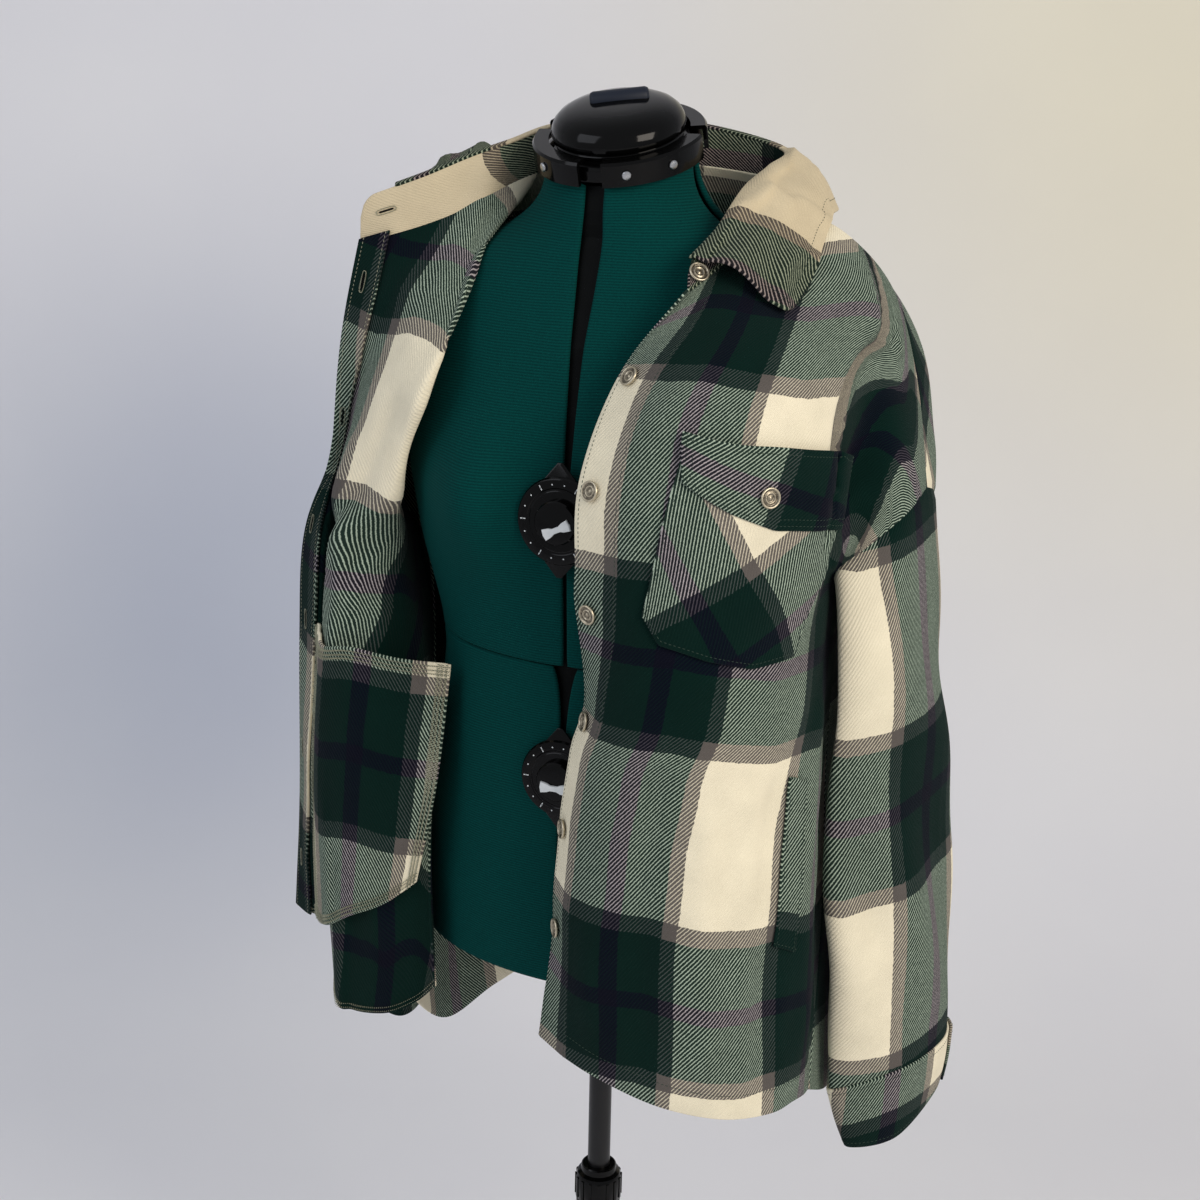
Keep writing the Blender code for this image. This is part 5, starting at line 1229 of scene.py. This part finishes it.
# sprayed and baked enamel on steel: black, half bright, with a faint orange peel
dress(shader, Base_Color="#0B0B0C", Normal=bumps(tree, noise(tree, 420.0, 2.0), 0.25, 0.0003),
      Specular_IOR_Level=0.35, Roughness=0.34)
for name, stands_for, material, slot, sides in (
        ("pole", "upper_pole", enamel, "black_enamel", 48),
        ("clutch_collar", "clutch_nut", gloss, "black_plastic", 64),
        ("clutch_sleeve", "clutch_body", gloss, "black_plastic", 64),
        ("tube", "lower_tube", enamel, "black_enamel", 48),
        ("tube_socket", "base_socket", gloss, "black_plastic", 64),
        ("base_plate", "base", enamel, "black_enamel", 128)):
    foot, *profile = TURNED[name]
    lathe(name, [(r, foot + z) for r, z in metres(profile)], material, [stands_for], sides)
grown("clutch_ribs", bpy.data.meshes.new("clutch_ribs"), marks,
      {"Count": 16, "Radius": 0.0204, "Length": 0.0016, "Width": 0.0026, "Height": 0.0200, "Finish": gloss},
      Matrix.Translation((0, 0, (NUT_FOOT + CLUTCH_TOP) / 2 - 0.004)))

tree, shader, hollow = finish("dull black inner frame")
# the unlit inside of the form, seen only through its slots: black with a little dust on it
dress(shader, Base_Color=shades(tree, noise(tree, 60.0, 5.0), "#020303", "#0B0D0D"), Specular_IOR_Level=0.05)
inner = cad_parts["form_core"]
for place in range(len(inner.data.materials)):
    inner.data.materials[place] = hollow

# ------------------------------------------------------------------ stitches
# Spun polyester sewing thread: bottle green in the lockstitch lines beside the edges and seams,
# and pale sage in the satin bars round the buttonholes and in the overlocking over the raw edges of
# the pocket bag and the hem inside.
def spun(name, shade, light_side):
    """Twisted thread: the twist of two plies painted as fine slanting bands of light and shade, fuzzy and
    dull.
    """
    tree, shader, made = finish(name)
    ply = add_node(tree, "ShaderNodeTexWave", {"Scale": 900.0, "Distortion": 2.0},
                   Vector=add_node(tree, "ShaderNodeTexCoord").outputs["Object"])
    dress(shader, Base_Color=shades(tree, ply.outputs["Fac"], shade, light_side), Roughness=0.85,
          Specular_IOR_Level=0.15)
    return made


pale_thread = spun("sage spun polyester thread", "#6E7264", "#B4B29A")
green_thread = spun("bottle green spun polyester thread", "#1C2C27", "#4B5B50")

stitch, given = group_of("stitches on a line", Geometry="Geometry", Pitch="Float", Length="Float",
                         Thickness="Float", Slant="Float", Finish="Material")
line = add_node(stitch, "GeometryNodeMeshToCurve", Mesh=given["Geometry"])
spaced = add_node(stitch, "GeometryNodeResampleCurve", {"mode": "LENGTH"}, Curve=line.outputs[0],
                  Length=given["Pitch"])
size = add_node(stitch, "ShaderNodeCombineXYZ", X=given["Thickness"], Y=given["Thickness"],
                Z=maths(stitch, "MULTIPLY", given["Length"], 0.5))
bead = add_node(stitch, "GeometryNodeMeshUVSphere", {"Segments": 6, "Rings": 4, "Radius": 1.0})
shaped = add_node(stitch, "GeometryNodeTransform", Geometry=bead.outputs[0], Scale=size.outputs[0])
way_on = add_node(stitch, "FunctionNodeAlignRotationToVector", {"axis": "Z"},
                  Vector=add_node(stitch, "GeometryNodeInputTangent").outputs[0])
chance = add_node(stitch, "FunctionNodeRandomValue", {"data_type": "FLOAT", 2: -0.12, 3: 0.12, "Seed": 5})
tilt = add_node(stitch, "ShaderNodeCombineXYZ", X=maths(stitch, "ADD", chance.outputs[1], given["Slant"]))
leant = add_node(stitch, "FunctionNodeRotateRotation", {"rotation_space": "LOCAL"}, _0=way_on.outputs[0],
                 _1=tilt.outputs[0])
spread(stitch, spaced.outputs[0], shaped.outputs[0], leant.outputs[0], given["Finish"])


def sewn(name, lines, used=None, pitch=0.0034, long=0.0022, thick=0.00026, slant=0.0):
    """Stitches along lines of points that already lie on the cloth."""
    verts, joins = [], []
    for points in lines:
        joins += [(len(verts) + k, len(verts) + k + 1) for k in range(len(points) - 1)]
        verts += [tuple(p) for p in points]
    mesh = bpy.data.meshes.new(name)
    mesh.from_pydata(verts, joins, [])
    made = grown(name, mesh, stitch, {"Pitch": pitch, "Length": long, "Thickness": thick, "Slant": slant,
                                      "Finish": used or green_thread})
    made.data.shade_smooth()
    return made


PROUD = 0.0001            # thread's middle above the cloth


def beside(grid, out, sides, insets, thickness=CLOTH, start=0):
    """Lines on a panel's face, each this far in from one of its edges."""
    lines = []
    for side in sides:
        inward, facing_to = from_side(grid, side)[:, start:], from_side(out, side)[:, start:]
        for inset in insets:
            found = []
            for c in range(inward.shape[1]):
                arc = arc_along(inward[:, c])
                spot, lift = ([np.interp(inset, arc, field[:, c, k]) for k in range(3)]
                              for field in (inward, facing_to))
                found.append(np.array(spot) + unit(np.array(lift)) * (thickness / 2 + PROUD))
            lines.append(found)
    return lines


def loop_at(grid, out, row, column, length, width, thickness, down=False):
    """Long narrow loop on a panel round a place in its grid, for a buttonhole."""
    spot, facing_to = grid[row, column], out[row, column]
    step = np.array((1, 0) if down else (0, 1))
    ahead = unit(grid[tuple((row, column) + step)] - grid[tuple((row, column) - step)])
    side_way = np.cross(facing_to, ahead)
    turns = np.linspace(0, 2 * np.pi, 33)
    return [spot + facing_to * (thickness / 2 + 2 * PROUD) + ahead * np.cos(t) * length / 2
            + side_way * np.sign(np.sin(t)) * abs(np.sin(t)) ** 0.4 * width / 2 for t in turns]


HEM = 0.020               # from a hem up to its line of stitches
FREE_SIDES = ("first", "bottom", "last")
pocket_out, flap_out, welt_out = -normals(pocket), -normals(flap), -normals(welt)
sewn("stitches_front", beside(left_panel, placket_out, ["first"], (0.003, 0.037))
     + beside(left_panel, placket_out, ["bottom"], [HEM]))
sewn("stitches_pocket", beside(pocket, pocket_out, FREE_SIDES, [0.003])
     + beside(flap, flap_out, FREE_SIDES, (0.003, 0.008)) + beside(flap, flap_out, ["top"], [0.004])
     + beside(welt, welt_out, ("first", "last", "bottom"), [0.002]))
leaf_out = normals(leaf)
leaf_out *= np.sign((leaf_out[20, 10] @ (1.0, -0.3, 0.3)))
sewn("stitches_collar", beside(leaf, leaf_out, ["bottom"], [0.009], BAND)
     + beside(leaf, leaf_out, ["first"], [0.009], BAND, 3)
     + beside(stand, stand_out, ["top"], [0.003], BAND)
     + beside(stand, stand_out, ["bottom"], [0.004], BAND))
facing_in, bag_in = -right_out[:, :ACROSS + 1], -normals(bag)
sewn("stitches_facing", beside(facing, facing_in, ("last", "first"), [0.004]), pale_thread)
sewn("stitches_cuffs", [line for band, band_facing in cuffs.values()
                        for line in beside(band, band_facing, ("top", "bottom", "last"), [0.004], BAND)])
sewn("stitches_back", beside(back, back_out, ["bottom"], [HEM]))

sewn("overlock_bag", beside(bag, bag_in, ("first", "top", "last", "bottom"), (0.0015, 0.0050, 0.0080), BAG),
     pale_thread, 0.0015, 0.0050, 0.00050, 1.25)
sewn("overlock_hem", beside(right_front, -right_out, ["bottom"], (0.0015, 0.0052)),
     pale_thread, 0.0018, 0.0050, 0.00040, 1.25)
HOLE_ROWS = (6, 20, 34, 46, 56, 66)          # of the facing's net
# the slits are lines of near-black beads in the inner frame's black: painted shadow in each cut
for name, long, wide, used, *thread in (
        ("buttonholes", 0.017, 0.0042, pale_thread, 0.0009, 0.0016, 0.00036, 1.57),
        ("buttonhole_slits", 0.012, 0.0008, hollow, 0.0008, 0.0012, 0.00045)):
    sewn(name, [loop_at(stand, -stand_out, 5, hole_column, long, wide, BAND)]
         + [loop_at(facing, facing_in, row, 5, long, wide, CLOTH, True) for row in HOLE_ROWS], used, *thread)
